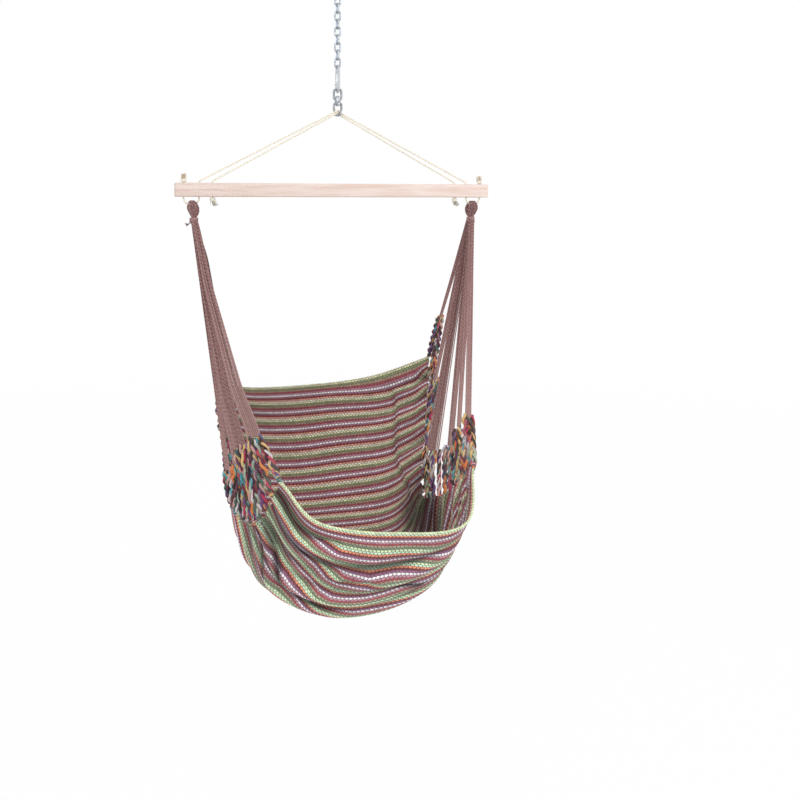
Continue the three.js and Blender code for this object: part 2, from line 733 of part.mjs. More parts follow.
// An eye of the sling: the cords' thick turn over the rope, its two legs down into the binding
function slingEye(side) {
  const half = (eyeOuterDepth - eyeThickness) / 2;
  const legs = eyeNeckShare * groupRadius - (eyeThickness * eyeLegShare) / 2;
  const shares = [
    [legs, 1], [legs, 0.86], [half * 0.8, 0.62], [half, 0.36], [half * 0.78, 0.13], [half * 0.4, 0.03],
  ];
  const front = shares.map(([y, drop]) => {
    const lean = eyeLean * Math.min(1, drop / eyeLeanShare);
    return at(side * (eyeX - lean), -y, eyeTopZ - drop * eyeHeight);
  });
  const rear = front.slice().reverse().map((p) => at(p.x, -p.y, p.z));
  const path = [...front, at(side * eyeX, 0, eyeTopZ), ...rear];
  const size = (share) => {
    const fromTop = Math.abs(2 * share - 1);
    const bulge = Math.sin(Math.PI * Math.min(fromTop / 0.8, 1));
    const straight = THREE.MathUtils.lerp(eyeTopWidth, eyeNeckWidth, fromTop);
    const width = straight + bulge * (eyeMiddleWidth - (eyeTopWidth + eyeNeckWidth) / 2);
    return [width / 2, (eyeThickness / 2) * THREE.MathUtils.lerp(1, eyeLegShare, fromTop)];
  };
  return rodAlong(path, size, at(1, 0, 0), 10);
}

// Binding round the eye's legs and the tops of the cord groups
function slingBinding(side) {
  const outer = bindingDiameter / 2;
  const inner = outer - bindingWall;
  const low = bindingZ;
  const profile = [];
  const turns = 4;
  profile.push(new THREE.Vector2(inner, low));
  for (let i = 0; i < turns; i += 1) {
    const z = low + (bindingHeight * i) / turns;
    profile.push(new THREE.Vector2(outer - bindingWall / 3, z));
    profile.push(new THREE.Vector2(outer, z + bindingHeight / turns / 2));
  }
  profile.push(new THREE.Vector2(outer - bindingWall / 3, low + bindingHeight));
  profile.push(new THREE.Vector2(inner, low + bindingHeight));
  profile.push(new THREE.Vector2(inner, low));
  const geometry = new THREE.LatheGeometry(profile, 12).rotateX(Math.PI / 2);
  return solidOf(geometry.translate(side * neckX, 0, 0));
}

// Cloth's surface

// A smooth value through four neighbours at a share of the middle span.
function smooth(a, b, c, d, t) {
  const square = t * t;
  return 0.5 * (2 * b + (c - a) * t + (2 * a - 5 * b + 4 * c - d) * square + (3 * b - a - 3 * c + d) * square * t);
}

// A smooth curve through a list of points, at a share of the list.
function smoothPoint(points, share) {
  const last = points.length - 1;
  const place = THREE.MathUtils.clamp(share, 0, 1) * last;
  const i = Math.min(Math.floor(place), last - 1);
  const t = place - i;
  const ahead = i + 2 <= last ? points[i + 2] : points[last].map((v, k) => 2 * v - points[last - 1][k]);
  const behind = i > 0 ? points[i - 1] : points[0].map((v, k) => 2 * v - points[1][k]);
  return points[i].map((v, k) => smooth(behind[k], v, points[i + 1][k], ahead[k], t));
}

// The cloth's plain surface: u from left to right, v from the back's top to the front rim.
function clothBase(u, v) {
  const across = clothNetShares.map((row) => smoothPoint(row, u));
  const [x, y, drop] = smoothPoint(across, v);
  return at(x * clothHalfWidth, y * clothDepth, barZ - drop * clothDrop);
}

function clothNormal(u, v) {
  const step = 1e-3;
  const alongU = clothBase(Math.min(u + step, 1), v).sub(clothBase(Math.max(u - step, 0), v));
  const alongV = clothBase(u, Math.min(v + step, 1)).sub(clothBase(u, Math.max(v - step, 0)));
  return alongU.cross(alongV).normalize();
}

// Pleats that run in from the gathered sides and slanting folds across the front
function clothPoint(u, v, offset = 0) {
  const width = 2 * clothHalfWidth;
  const pleat = Math.exp((-Math.min(u, 1 - u) * width) / pleatReach);
  const pleats = -pleatDepth * Math.cos(2 * Math.PI * groupCount * v) * pleat;
  const { smoothstep } = THREE.MathUtils;
  const front = smoothstep(v, 0.5, 0.64) * (1 - smoothstep(v, 0.86, 1)) * Math.sin(Math.PI * u);
  const phase = 2 * Math.PI * (foldCount * (v - 0.5) * 2 + foldSlantShare * (u - 0.5));
  const folds = foldDepth * Math.sin(phase) * front;
  return clothBase(u, v).addScaledVector(clothNormal(u, v), pleats + folds + offset);
}

// The share of the width at a column, closer together at the gathered sides
function columnShare(i) {
  const t = i / clothColumns;
  return THREE.MathUtils.lerp(t, (1 - Math.cos(Math.PI * t)) / 2, 0.6);
}

// The cloth as a closed shell, grown by an extra amount on every side
function clothShell(extra = 0) {
  const half = clothThickness / 2 + extra;
  const positions = [];
  const indices = [];
  const rowLength = clothColumns + 1;
  const layer = rowLength * (clothRows + 1);
  for (const face of [-1, 1]) {
    for (let j = 0; j <= clothRows; j += 1) {
      for (let i = 0; i <= clothColumns; i += 1) {
        const p = clothPoint(columnShare(i), j / clothRows, face * half);
        if (extra > 0) {
          p.add(edgeOutward(i, j).multiplyScalar(extra));
        }
        positions.push(p.x, p.y, p.z);
      }
    }
  }
  const quad = (a, b, c, d) => indices.push(a, b, c, a, c, d);
  for (let j = 0; j < clothRows; j += 1) {
    for (let i = 0; i < clothColumns; i += 1) {
      const a = j * rowLength + i;
      quad(a, a + rowLength, a + rowLength + 1, a + 1);
      quad(layer + a, layer + a + 1, layer + a + rowLength + 1, layer + a + rowLength);
    }
  }
  for (let i = 0; i < clothColumns; i += 1) {
    const last = clothRows * rowLength + i;
    quad(i, i + 1, layer + i + 1, layer + i);
    quad(last + 1, last, layer + last, layer + last + 1);
  }
  for (let j = 0; j < clothRows; j += 1) {
    const left = j * rowLength;
    const right = left + clothColumns;
    quad(left + rowLength, left, layer + left, layer + left + rowLength);
    quad(right, right + rowLength, layer + right + rowLength, layer + right);
  }
  return solidFrom(positions, indices);
}

// The way out of the cloth at a point of its edge, and nothing inside it
function edgeOutward(i, j) {
  const u = columnShare(i);
  const v = j / clothRows;
  const step = 0.01;
  const out = at(0, 0, 0);
  if (i === 0 || i === clothColumns) {
    const inner = clothPoint(i === 0 ? step : 1 - step, v);
    out.add(clothPoint(u, v).sub(inner).normalize());
  }
  if (j === 0 || j === clothRows) {
    const inner = clothPoint(u, j === 0 ? step : 1 - step);
    out.add(clothPoint(u, v).sub(inner).normalize());
  }
  return out;
}

// Cord groups and braids

// The top of a cord group in the binding, its half width there, its lower end and its width there.
function groupRoute(side, k) {
  const y = (k - (groupCount - 1) / 2) * groupPitch;
  const top = at(side * neckX, -y, groupTopZ);
  const rim = Math.abs(y) + groupThickness / 2;
  const halfWidth = Math.sqrt(groupRadius ** 2 - rim ** 2);
  const anchors = side < 0 ? leftAnchorShares : rightAnchorShares;
  const edge = clothPoint(side < 0 ? 0 : 1, anchors[k]);
  const length = braidLength * (side < 0 ? leftBraidShares : rightBraidShares)[k];
  const end = edge.clone().addScaledVector(top.clone().sub(edge).normalize(), length);
  const endWidth = groupEndWidth * (side < 0 ? leftWidthShares : rightWidthShares)[k];
  return { top, halfWidth, end, endWidth };
}

// One group of cords: a flat slice in the binding that spreads into a wide ribbon at its braid.
function cordGroup(side, k) {
  const { top, halfWidth, end, endWidth } = groupRoute(side, k);
  const steps = 6;
  const path = [];
  for (let i = 0; i <= steps; i += 1) {
    path.push(top.clone().lerp(end, i / steps));
  }
  const size = (share) => [
    THREE.MathUtils.lerp(halfWidth, endWidth / 2, share),
    THREE.MathUtils.lerp(groupThickness / 2, groupEndThickness / 2, share),
  ];
  return largestBody(rodAlong(path, size, at(1, 0, 0), 8).subtract(bindingKeepOut(side)));
}

// What the cord groups stay clear of: the binding's wall, and all above the eye's legs
function bindingKeepOut(side) {
  const centre = at(side * neckX, 0, eyeEndZ + bindingHeight - clearance);
  const above = cylinderAt(centre, bindingDiameter, 2 * bindingHeight);
  const wallCentre = at(side * neckX, 0, bindingZ + bindingHeight / 2);
  const wallHeight = bindingHeight + 2 * clearance;
  const wall = cylinderAt(wallCentre, bindingDiameter, wallHeight, "z", 16);
  const bore = cylinderAt(wallCentre, bindingDiameter / 2 - bindingWall - clearance, 2 * wallHeight, "z", 12);
  return above.add(wall.subtract(bore));
}

// One braid: strands from the end of a cord group that part to their places on the cloth's edge.
function braid(side, k, cutter) {
  const { top, end, endWidth } = groupRoute(side, k);
  const down = end.clone().sub(top).normalize();
  const across = at(1, 0, 0).addScaledVector(down, -down.x).normalize();
  const start = end.clone().addScaledVector(down, clearance);
  const steps = 2 * braidLumps;
  let made = null;
  for (let s = 0; s < braidStrands; s += 1) {
    const v = (k * braidStrands + s) / (groupCount * braidStrands - 1);
    const foot = clothPoint(side < 0 ? 0 : 1, v);
    const spread = Math.min(braidSpread, endWidth / braidStrands) * (s - (braidStrands - 1) / 2);
    const head = start.clone().addScaledVector(across, spread);
    const knee = head.clone().addScaledVector(down, braidDiameter);
    const path = [head];
    for (let i = 0; i <= steps; i += 1) {
      path.push(knee.clone().lerp(foot, i / steps));
    }
    const size = (share) => {
      const plain = THREE.MathUtils.lerp(braidDiameter, braidEndDiameter, share) / 2;
      const lump = (braidLumpDepth / 2) * Math.cos(2 * Math.PI * braidLumps * share);
      return [plain - lump, plain - lump];
    };
    const strand = rodAlong(path, size, at(1, 0, 0), 5);
    made = made ? made.add(strand) : strand;
  }
  return largestBody(made.subtract(cutter));
}

// The whole part
addNode("ceiling_plate", ceilingPlate(), galvanised);
addNode("ceiling_eye", ceilingEye(), galvanised);
for (let i = 0; i < linkCount; i += 1) {
  addNode("chain_link_" + (i + 1), chainLink(firstLinkZ - i * linkPitch, i % 2 === 1), galvanised);
}
addNode("snap_hook_body", snapHookBody(), galvanised);
addNode("snap_hook_gate", snapHookGate(), galvanised);
addNode("snap_hook_gate_spring", gateSpring(), darkSteel);
addNode("snap_hook_rivet", gateRivet(), galvanised);
addNode("swivel_upper_eye", swivelUpperEye(), darkSteel);
addNode("swivel_washer", swivelWasher(), galvanised);
addNode("swivel_pin", swivelPin(), darkSteel);
addNode("swivel_lower_eye", swivelLowerEye(), darkSteel);
addNode("spreader_bar", spreaderBar(), pinkWood);
addNode("outer_rope", outerRope(), creamRope);
addNode("inner_rope", innerRope(), creamRope);
const braidCutter = clothShell(clearance);
for (const [label, side] of [["left", -1], ["right", 1]]) {
  addNode(label + "_eye", slingEye(side), mauveCord);
  addNode(label + "_binding", slingBinding(side), mauveCord);
  for (let k = 0; k < groupCount; k += 1) {
    addNode(label + "_cords_" + (k + 1), cordGroup(side, k), mauveCord);
    addNode(label + "_braid_" + (k + 1), braid(side, k, braidCutter), braidYarn);
  }
}
addNode("cloth", clothShell(), stripedCloth);

export default root;
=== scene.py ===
import math
import random

import bmesh
import bpy
import numpy as np
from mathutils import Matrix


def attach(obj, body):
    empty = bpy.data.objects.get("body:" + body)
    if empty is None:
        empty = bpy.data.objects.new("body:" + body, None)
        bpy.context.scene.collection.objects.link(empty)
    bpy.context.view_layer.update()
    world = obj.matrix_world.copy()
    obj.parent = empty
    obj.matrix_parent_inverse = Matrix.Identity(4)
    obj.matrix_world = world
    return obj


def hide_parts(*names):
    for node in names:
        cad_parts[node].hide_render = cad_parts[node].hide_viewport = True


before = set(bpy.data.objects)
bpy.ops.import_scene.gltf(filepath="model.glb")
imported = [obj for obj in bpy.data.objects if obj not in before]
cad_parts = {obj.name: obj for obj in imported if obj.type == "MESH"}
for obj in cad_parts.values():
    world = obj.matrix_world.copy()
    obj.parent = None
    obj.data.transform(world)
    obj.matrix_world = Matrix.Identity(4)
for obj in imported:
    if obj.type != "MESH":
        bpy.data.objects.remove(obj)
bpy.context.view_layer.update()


# The camera stands a little to the left of the chair, 3.1 m from the bar and just under it,
# and looks level.
camera_turn = math.radians(16)
camera_distance = 3.1
camera_height = -0.666


def placed(name, data):
    made = bpy.data.objects.new(name, data)
    bpy.context.scene.collection.objects.link(made)
    return made


camera_data = bpy.data.cameras.new("camera")
camera_data.lens = 45.18
camera_data.sensor_width = 36
camera_data.shift_x = 0.078
camera_data.shift_y = -0.2438
camera_data.clip_end = 100
camera = placed("camera", camera_data)
camera.location = (-camera_distance * math.sin(camera_turn), -camera_distance * math.cos(camera_turn),
                   camera_height)
camera.rotation_euler = (math.pi / 2, 0, -camera_turn)
bpy.context.scene.camera = camera


# Galvanised steel: the ceiling plate with its eye, and further on the chain and a washer.
# Zinc dries in dull crystals, so the grey is cloudy and the shine uneven.
def add(tree, kind, settings=None, inputs=None):
    made = tree.nodes.new(kind)
    for key, value in (settings or {}).items():
        setattr(made, key, value)
    for key, value in (inputs or {}).items():
        if isinstance(value, bpy.types.NodeSocket):
            tree.links.new(value, made.inputs[key])
        else:
            made.inputs[key].default_value = value
    return made


def calc(tree, operation, *values):
    return add(tree, "ShaderNodeMath", {"operation": operation}, dict(enumerate(values))).outputs[0]


def new_finish(name, roughness, metallic=0.0):
    finish = bpy.data.materials.new(name)
    finish.use_nodes = True
    shader = finish.node_tree.nodes["Principled BSDF"]
    shader.inputs["Roughness"].default_value = roughness
    shader.inputs["Metallic"].default_value = metallic
    return finish, finish.node_tree, shader


def object_place(tree):
    return add(tree, "ShaderNodeTexCoord").outputs["Object"]


def noise(tree, place, scale, detail, roughness=0.5):
    return add(tree, "ShaderNodeTexNoise", None,
               {"Vector": place, "Scale": scale, "Detail": detail, "Roughness": roughness}).outputs[0]


def mapped(tree, value, low, high, at_low, at_high):
    return add(tree, "ShaderNodeMapRange", None,
               {0: value, 1: low, 2: high, 3: at_low, 4: at_high}).outputs[0]


def colour_steps(tree, value, stops, blend="LINEAR"):
    made = add(tree, "ShaderNodeValToRGB", None, {0: value})
    ramp = made.color_ramp
    ramp.interpolation = blend
    while len(ramp.elements) < len(stops):
        ramp.elements.new(0.5)
    for element, (place, colour) in zip(ramp.elements, stops):
        element.position = place
        element.color = (*colour, 1)
    return made.outputs[0]


def dress(tree, shader, colour, relief, depth, strength):
    tree.links.new(colour, shader.inputs["Base Color"])
    bump = add(tree, "ShaderNodeBump", None, {"Height": relief, "Distance": depth, "Strength": strength})
    tree.links.new(bump.outputs[0], shader.inputs["Normal"])


def metal_finish(name, dark, light, rough_low, rough_high, cloud_scale, pit_scale, pit_depth):
    finish, tree, shader = new_finish(name, rough_low, 1.0)
    place = object_place(tree)
    clouds = add(tree, "ShaderNodeTexVoronoi", None, {"Vector": place, "Scale": cloud_scale})
    pits = noise(tree, place, pit_scale, 3)
    mixed = calc(tree, "MULTIPLY_ADD", clouds.outputs["Color"], 0.6, calc(tree, "MULTIPLY", pits, 0.5))
    tree.links.new(mapped(tree, mixed, 0.2, 0.8, rough_high, rough_low), shader.inputs["Roughness"])
    dress(tree, shader, colour_steps(tree, mixed, [(0.2, dark), (0.8, light)]), pits, pit_depth, 0.6)
    return finish


galvanised = metal_finish("galvanised", (0.33, 0.36, 0.40), (0.55, 0.59, 0.64), 0.42, 0.62,
                          cloud_scale=260, pit_scale=900, pit_depth=0.0002)


# A piece whose solid has the right shape is drawn from a merged copy of it, smooth over its
# rounds and sharp at its edges.
def smooth_copy(node, body, finish, sharp_degrees=38):
    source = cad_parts[node]
    shape = bmesh.new()
    shape.from_mesh(source.data)
    bmesh.ops.remove_doubles(shape, verts=shape.verts, dist=2e-6)
    for face in shape.faces:
        face.smooth = True
    limit = math.radians(sharp_degrees)
    for edge in shape.edges:
        edge.smooth = not edge.is_manifold or edge.calc_face_angle(0) < limit
    mesh = bpy.data.meshes.new(node + "_shown")
    shape.to_mesh(mesh)
    shape.free()
    mesh.materials.append(finish)
    piece = placed(node + "_shown", mesh)
    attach(piece, body)
    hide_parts(node)
    return piece


for node in ("ceiling_plate", "ceiling_eye"):
    smooth_copy(node, "ceiling_mount", galvanised)


# Chain: nine links bent from round wire, each closed by a small weld in its side.
# Links hang crosswise in each other.
link_count = 9
link_wire = 0.006
link_half_width = 0.008
link_half_straight = 0.0071515
link_pitch = 0.024
link_first_height = -0.035150
weld_half_length = 0.0016
weld_thick = link_wire * 1.13
weld_swell = [0.88, 0.97, 1.0, 1.02, 1.0, 0.97, 0.88]


def plain_piece(name, source, finish):
    graph = bpy.context.evaluated_depsgraph_get()
    mesh = bpy.data.meshes.new_from_object(source.evaluated_get(graph))
    mesh.name = name
    mesh.materials.clear()
    mesh.materials.append(finish)
    for face in mesh.polygons:
        face.use_smooth = True
    piece = placed(name, mesh)
    bpy.data.objects.remove(source)
    return piece


def socket_name(tree, label):
    return next(item.identifier for item in tree.interface.items_tree if item.name == label)


def tube_tree(name, sides):
    tree = bpy.data.node_groups.new(name, "GeometryNodeTree")
    for label, way, kind in (("Lines", "INPUT", "Geometry"), ("Thickness", "INPUT", "Float"),
                             ("Finish", "INPUT", "Material"), ("Tubes", "OUTPUT", "Geometry")):
        tree.interface.new_socket(label, in_out=way, socket_type="NodeSocket" + kind)
    given = add(tree, "NodeGroupInput")
    size = add(tree, "GeometryNodeInputNamedAttribute", {"data_type": "FLOAT"}, {"Name": "size"})
    half_size = calc(tree, "MULTIPLY", size.outputs["Attribute"], 0.5)
    radius = calc(tree, "MULTIPLY", given.outputs["Thickness"], half_size)
    curves = add(tree, "GeometryNodeMeshToCurve", None, {"Mesh": given.outputs["Lines"]})
    sized = add(tree, "GeometryNodeSetCurveRadius", None, {"Curve": curves.outputs[0], "Radius": radius})
    along = add(tree, "GeometryNodeSplineParameter")
    measured = add(tree, "GeometryNodeStoreNamedAttribute", {"data_type": "FLOAT", "domain": "POINT"},
                   {"Geometry": sized.outputs[0], "Name": "along", "Value": along.outputs["Length"]})
    section = add(tree, "GeometryNodeCurvePrimitiveCircle", None, {"Resolution": sides, "Radius": 1.0})
    around = add(tree, "GeometryNodeInputPosition")
    ring = add(tree, "GeometryNodeStoreNamedAttribute", {"data_type": "FLOAT_VECTOR", "domain": "POINT"},
               {"Geometry": section.outputs["Curve"], "Name": "ring", "Value": around.outputs[0]})
    swept = add(tree, "GeometryNodeCurveToMesh", None,
                {"Curve": measured.outputs[0], "Profile Curve": ring.outputs[0], "Fill Caps": True})
    if "Scale" in swept.inputs:
        tree.links.new(radius, swept.inputs["Scale"])
    real = add(tree, "GeometryNodeRealizeInstances", None, {"Geometry": swept.outputs[0]})
    dressed = add(tree, "GeometryNodeSetMaterial", None,
                  {"Geometry": real.outputs[0], "Material": given.outputs["Finish"]})
    add(tree, "NodeGroupOutput", None, {"Tubes": dressed.outputs[0]})
    return tree


tube_trees = {}


def tubes(name, paths, thickness, finish, sides=6, sizes=None, tones=None, closed=False):
    points, edges, size, tone = [], [], [], []
    for i, path in enumerate(paths):
        start = len(points)
        points.extend(tuple(p) for p in path)
        edges.extend((start + k, start + k + 1) for k in range(len(path) - 1))
        if closed:
            edges.append((start + len(path) - 1, start))
        size.extend([1.0] * len(path) if sizes is None else list(sizes[i]))
        tone.extend([0.5 if tones is None else tones[i]] * len(path))
    mesh = bpy.data.meshes.new(name + "_lines")
    mesh.from_pydata(points, edges, [])
    for label, values in (("size", size), ("tone", tone)):
        mesh.attributes.new(label, "FLOAT", "POINT").data.foreach_set("value", values)
    lines = placed(name + "_lines", mesh)
    if sides not in tube_trees:
        tube_trees[sides] = tube_tree("tube_%d" % sides, sides)
    tree = tube_trees[sides]
    maker = lines.modifiers.new("tubes", "NODES")
    maker.node_group = tree
    maker[socket_name(tree, "Thickness")] = thickness
    maker[socket_name(tree, "Finish")] = finish
    return plain_piece(name, lines, finish)


def link_path(centre, turned, steps=12):
    path = []
    for high, start in ((1, 0.0), (-1, math.pi)):
        for k in range(steps + 1):
            angle = start + math.pi * k / steps
            across = link_half_width * math.cos(angle)
            height = centre + high * link_half_straight + link_half_width * math.sin(angle)
            path.append((0, across, height) if turned else (across, 0, height))
    return np.array(path)


for i in range(link_count):
    path = link_path(link_first_height - i * link_pitch, i % 2 == 1)
    middle = path[len(path) // 2 - 1] * 0.5 + path[len(path) // 2] * 0.5
    weld_heights = np.linspace(-weld_half_length, weld_half_length, len(weld_swell))
    weld = weld_heights[:, None] * np.array([0, 0, 1]) + middle
    piece = tubes("chain_link_%d_shown" % (i + 1), [path], link_wire, galvanised, sides=12, closed=True)
    seam = tubes("chain_weld_%d" % (i + 1), [weld], weld_thick, galvanised, sides=12, sizes=[weld_swell])
    for made in (piece, seam):
        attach(made, "link_%d" % (i + 1))
    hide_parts("chain_link_%d" % (i + 1))


# Snap hook: bent from 8 mm rod, with a sprung gate that turns on a rivet and opens inward.
# It joins the chain's last link to the swivel. Its zinc is newer and brighter than the chain's.
hook_steel = metal_finish("hook_steel", (0.42, 0.44, 0.47), (0.66, 0.69, 0.72), 0.25, 0.45,
                          cloud_scale=180, pit_scale=700, pit_depth=0.00015)
for node, body in (("snap_hook_body", "snap_hook"), ("snap_hook_rivet", "snap_hook"),
                   ("snap_hook_gate", "hook_gate"), ("snap_hook_gate_spring", "hook_gate")):
    smooth_copy(node, body, hook_steel)


# Swivel: two forged eyes that turn on a headed pin, with a washer between their bosses.
# The forging scale leaves them darker than the chain.
forged = metal_finish("forged_steel", (0.20, 0.21, 0.23), (0.46, 0.48, 0.51), 0.3, 0.55,
                      cloud_scale=120, pit_scale=600, pit_depth=0.0003)
for node, body in (("swivel_upper_eye", "swivel_top"), ("swivel_pin", "swivel_top"),
                   ("swivel_lower_eye", "swivel_bottom")):
    smooth_copy(node, body, forged)
smooth_copy("swivel_washer", "swivel_top", galvanised)


# Spreader bar: a planed wooden lath with rounded edges, bored three times near each end.
# The wood is pale and a little pink, with fine lines of grain along its length.
bar_height = -0.621
bar_length = 1.0
bar_thick = 0.042
grain_stretch = (2.2, 42.0, 42.0)
pore_stretch = (14.0, 420.0, 420.0)


def tinted(tree, colour, strength):
    return add(tree, "ShaderNodeVectorMath", {"operation": "SCALE"},
               {0: colour, "Scale": strength}).outputs[0]


wood, tree, shader = new_finish("pale_wood", 0.55)
place = object_place(tree)
stretched = add(tree, "ShaderNodeMapping", None, {"Vector": place, "Scale": grain_stretch})
rings = noise(tree, stretched.outputs[0], 2.0, 5, 0.6)
fine_stretched = add(tree, "ShaderNodeMapping", None, {"Vector": place, "Scale": pore_stretch})
pores = noise(tree, fine_stretched.outputs[0], 3.0, 2)
grain = calc(tree, "MULTIPLY_ADD", rings, 0.75, calc(tree, "MULTIPLY", pores, 0.25))
wood_colour = colour_steps(tree, grain, [
    (0.30, (0.66, 0.47, 0.39)), (0.44, (0.78, 0.61, 0.54)),
    (0.56, (0.84, 0.70, 0.64)), (0.72, (0.89, 0.76, 0.71))])
along_bar = add(tree, "ShaderNodeSeparateXYZ", None, {0: place}).outputs[0]
# The wood's colour is scaled from 0.92 at the bar's left end to 1.04 at its right end.
along_bar_gain = calc(tree, "MULTIPLY_ADD", along_bar, 0.12, 0.98)
tree.links.new(mapped(tree, pores, 0.3, 0.7, 0.68, 0.5), shader.inputs["Roughness"])
dress(tree, shader, tinted(tree, wood_colour, along_bar_gain), grain, 0.0006, 0.5)
smooth_copy("spreader_bar", "bar", wood, sharp_degrees=50)


# Ropes: two cotton ropes of three laid strands. Both run over the swivel's lower eye and down
# through the bar. The outer one loops under the bar, round the sling's eyes, and is knotted on
# top; the inner one is knotted under the bar.
rope_thick = 0.006
rope_strands = 3
rope_lay = 0.026
strand_thick = rope_thick * 0.485
strand_offset = rope_thick * 0.262
knot_strand_offset = rope_thick * 0.255
apex_height = -0.3895
apex_bend = 0.010
apex_shoulder = (-0.012, -0.015)
swivel_half_rod = 0.0035
rope_play = 0.0005
crossing_lift = rope_thick + 0.0009
bar_top = bar_height + bar_thick / 2
bar_under = bar_height - bar_thick / 2
loop_height = bar_under - 0.0213
loop_bend = 0.01725
hole_bend = 0.006
knot_hole, loop_hole, rope_hole = (-bar_length / 2 + inset for inset in (0.026, 0.072, 0.112))
knot_rise = 0.0073
knot_radius = 0.0062
knot_half_height = 0.0042
knot_wobble = 0.0012
knot_steps = 14
fray_count = 40
fray_thick = 0.0015
fray_taper = [1, 1, 0.9, 0.8, 0.5]
fray_spread = 0.0030
fray_lean = 0.0026
fray_bow = 0.0012


def unit(v):
    return v / max(np.linalg.norm(v), 1e-12)


def rounded_path(corners, steps=6):
    path = [np.array(corners[0][0], float)]
    for i in range(1, len(corners) - 1):
        point, radius = np.array(corners[i][0], float), corners[i][1]
        back = unit(np.array(corners[i - 1][0]) - point)
        on = unit(np.array(corners[i + 1][0]) - point)
        half = math.acos(np.clip(back @ on, -1, 1)) / 2
        if not radius or half > math.pi / 2 - 1e-3:
            path.append(point)
            continue
        centre = point + unit(back + on) * radius / math.sin(half)
        start = point + back * radius / math.tan(half) - centre
        end = point + on * radius / math.tan(half) - centre
        sweep = math.acos(np.clip(unit(start) @ unit(end), -1, 1))
        for k in range(steps + 1):
            share = k / steps
            a = math.sin((1 - share) * sweep) / math.sin(sweep)
            b = math.sin(share * sweep) / math.sin(sweep)
            path.append(centre + start * a + end * b)
    path.append(np.array(corners[-1][0], float))
    return np.array(path)


def run_along(path):
    return np.concatenate([[0], np.cumsum(np.linalg.norm(np.diff(path, axis=0), axis=1))])


def spaced(path, step):
    path = np.asarray(path, float)
    lengths = run_along(path)
    count = max(int(round(lengths[-1] / step)), 2)
    places = np.linspace(0, lengths[-1], count + 1)
    return np.stack([np.interp(places, lengths, path[:, k]) for k in range(3)], axis=1)


def path_frames(path):
    ahead = np.gradient(path, axis=0)
    ahead /= np.linalg.norm(ahead, axis=1)[:, None]
    side = unit(np.cross(ahead[0], (0.3, 0.2, 0.93)))
    sides = []
    for direction in ahead:
        side = unit(side - direction * (side @ direction))
        sides.append(side)
    sides = np.array(sides)
    return sides, np.cross(ahead, sides)


def laid_strands(path, radius, step):
    path = spaced(path, step)
    side, up = path_frames(path)
    length = run_along(path)
    made = []
    for s in range(rope_strands):
        angle = 2 * math.pi * (length / rope_lay + s / rope_strands)
        made.append(path + side * (np.cos(angle) * radius)[:, None] + up * (np.sin(angle) * radius)[:, None])
    return made


def rope_route(start, lift):
    apex = apex_height + swivel_half_rod + rope_play + rope_thick / 2 + lift
    hole = start[-1][0][0]
    left = start + [
        ((hole, 0, bar_top + 0.005), hole_bend),
        ((*apex_shoulder, apex - 0.005), apex_bend),
        ((0, 0, apex + rope_thick / 4), apex_bend)]
    right = [((-p[0], -p[1], p[2]), r) for p, r in reversed(left[:-1])]
    return rounded_path(left + right)


def knot_path(centre, up, middle):
    path = []
    for k in range(2 * knot_steps + 1):
        angle = 2 * math.pi * k / knot_steps
        height = up * (knot_half_height * (k / knot_steps - 1) + knot_wobble * math.sin(angle))
        path.append((centre + knot_radius * math.cos(angle), knot_radius * math.sin(angle), middle + height))
    return np.array(path)


def stored(tree, name):
    return add(tree, "ShaderNodeAttribute", {"attribute_name": name}).outputs["Fac"]


def angle_round(tree):
    ring = add(tree, "ShaderNodeAttribute", {"attribute_name": "ring"})
    split = add(tree, "ShaderNodeSeparateXYZ", None, {0: ring.outputs["Vector"]})
    return calc(tree, "ARCTAN2", split.outputs[1], split.outputs[0])


def rope_finish(name, dark, middle, light):
    finish, tree, shader = new_finish(name, 0.9)
    around = calc(tree, "MULTIPLY", angle_round(tree), 5.0)
    twist = calc(tree, "ADD", around, calc(tree, "MULTIPLY", stored(tree, "along"), 2200.0))
    fibres = calc(tree, "MULTIPLY_ADD", calc(tree, "SINE", twist), 0.5, 0.5)
    mottle = noise(tree, object_place(tree), 160, 3)
    shade = calc(tree, "MULTIPLY_ADD", fibres, 0.35, calc(tree, "MULTIPLY", mottle, 0.65))
    colour = colour_steps(tree, shade, [(0.2, dark), (0.5, middle), (0.8, light)])
    dress(tree, shader, colour, fibres, 0.0004, 0.7)
    shader.inputs["Sheen Weight"].default_value = 0.15
    return finish


rope_yarn = rope_finish("cream_rope", (0.87, 0.79, 0.63), (0.95, 0.89, 0.76), (0.98, 0.95, 0.87))
fray_yarns = {1: rope_finish("tan_fray", (0.66, 0.45, 0.30), (0.86, 0.70, 0.52), (0.95, 0.87, 0.73)),
              -1: rope_finish("grey_fray", (0.45, 0.43, 0.36), (0.70, 0.68, 0.58), (0.88, 0.86, 0.74))}

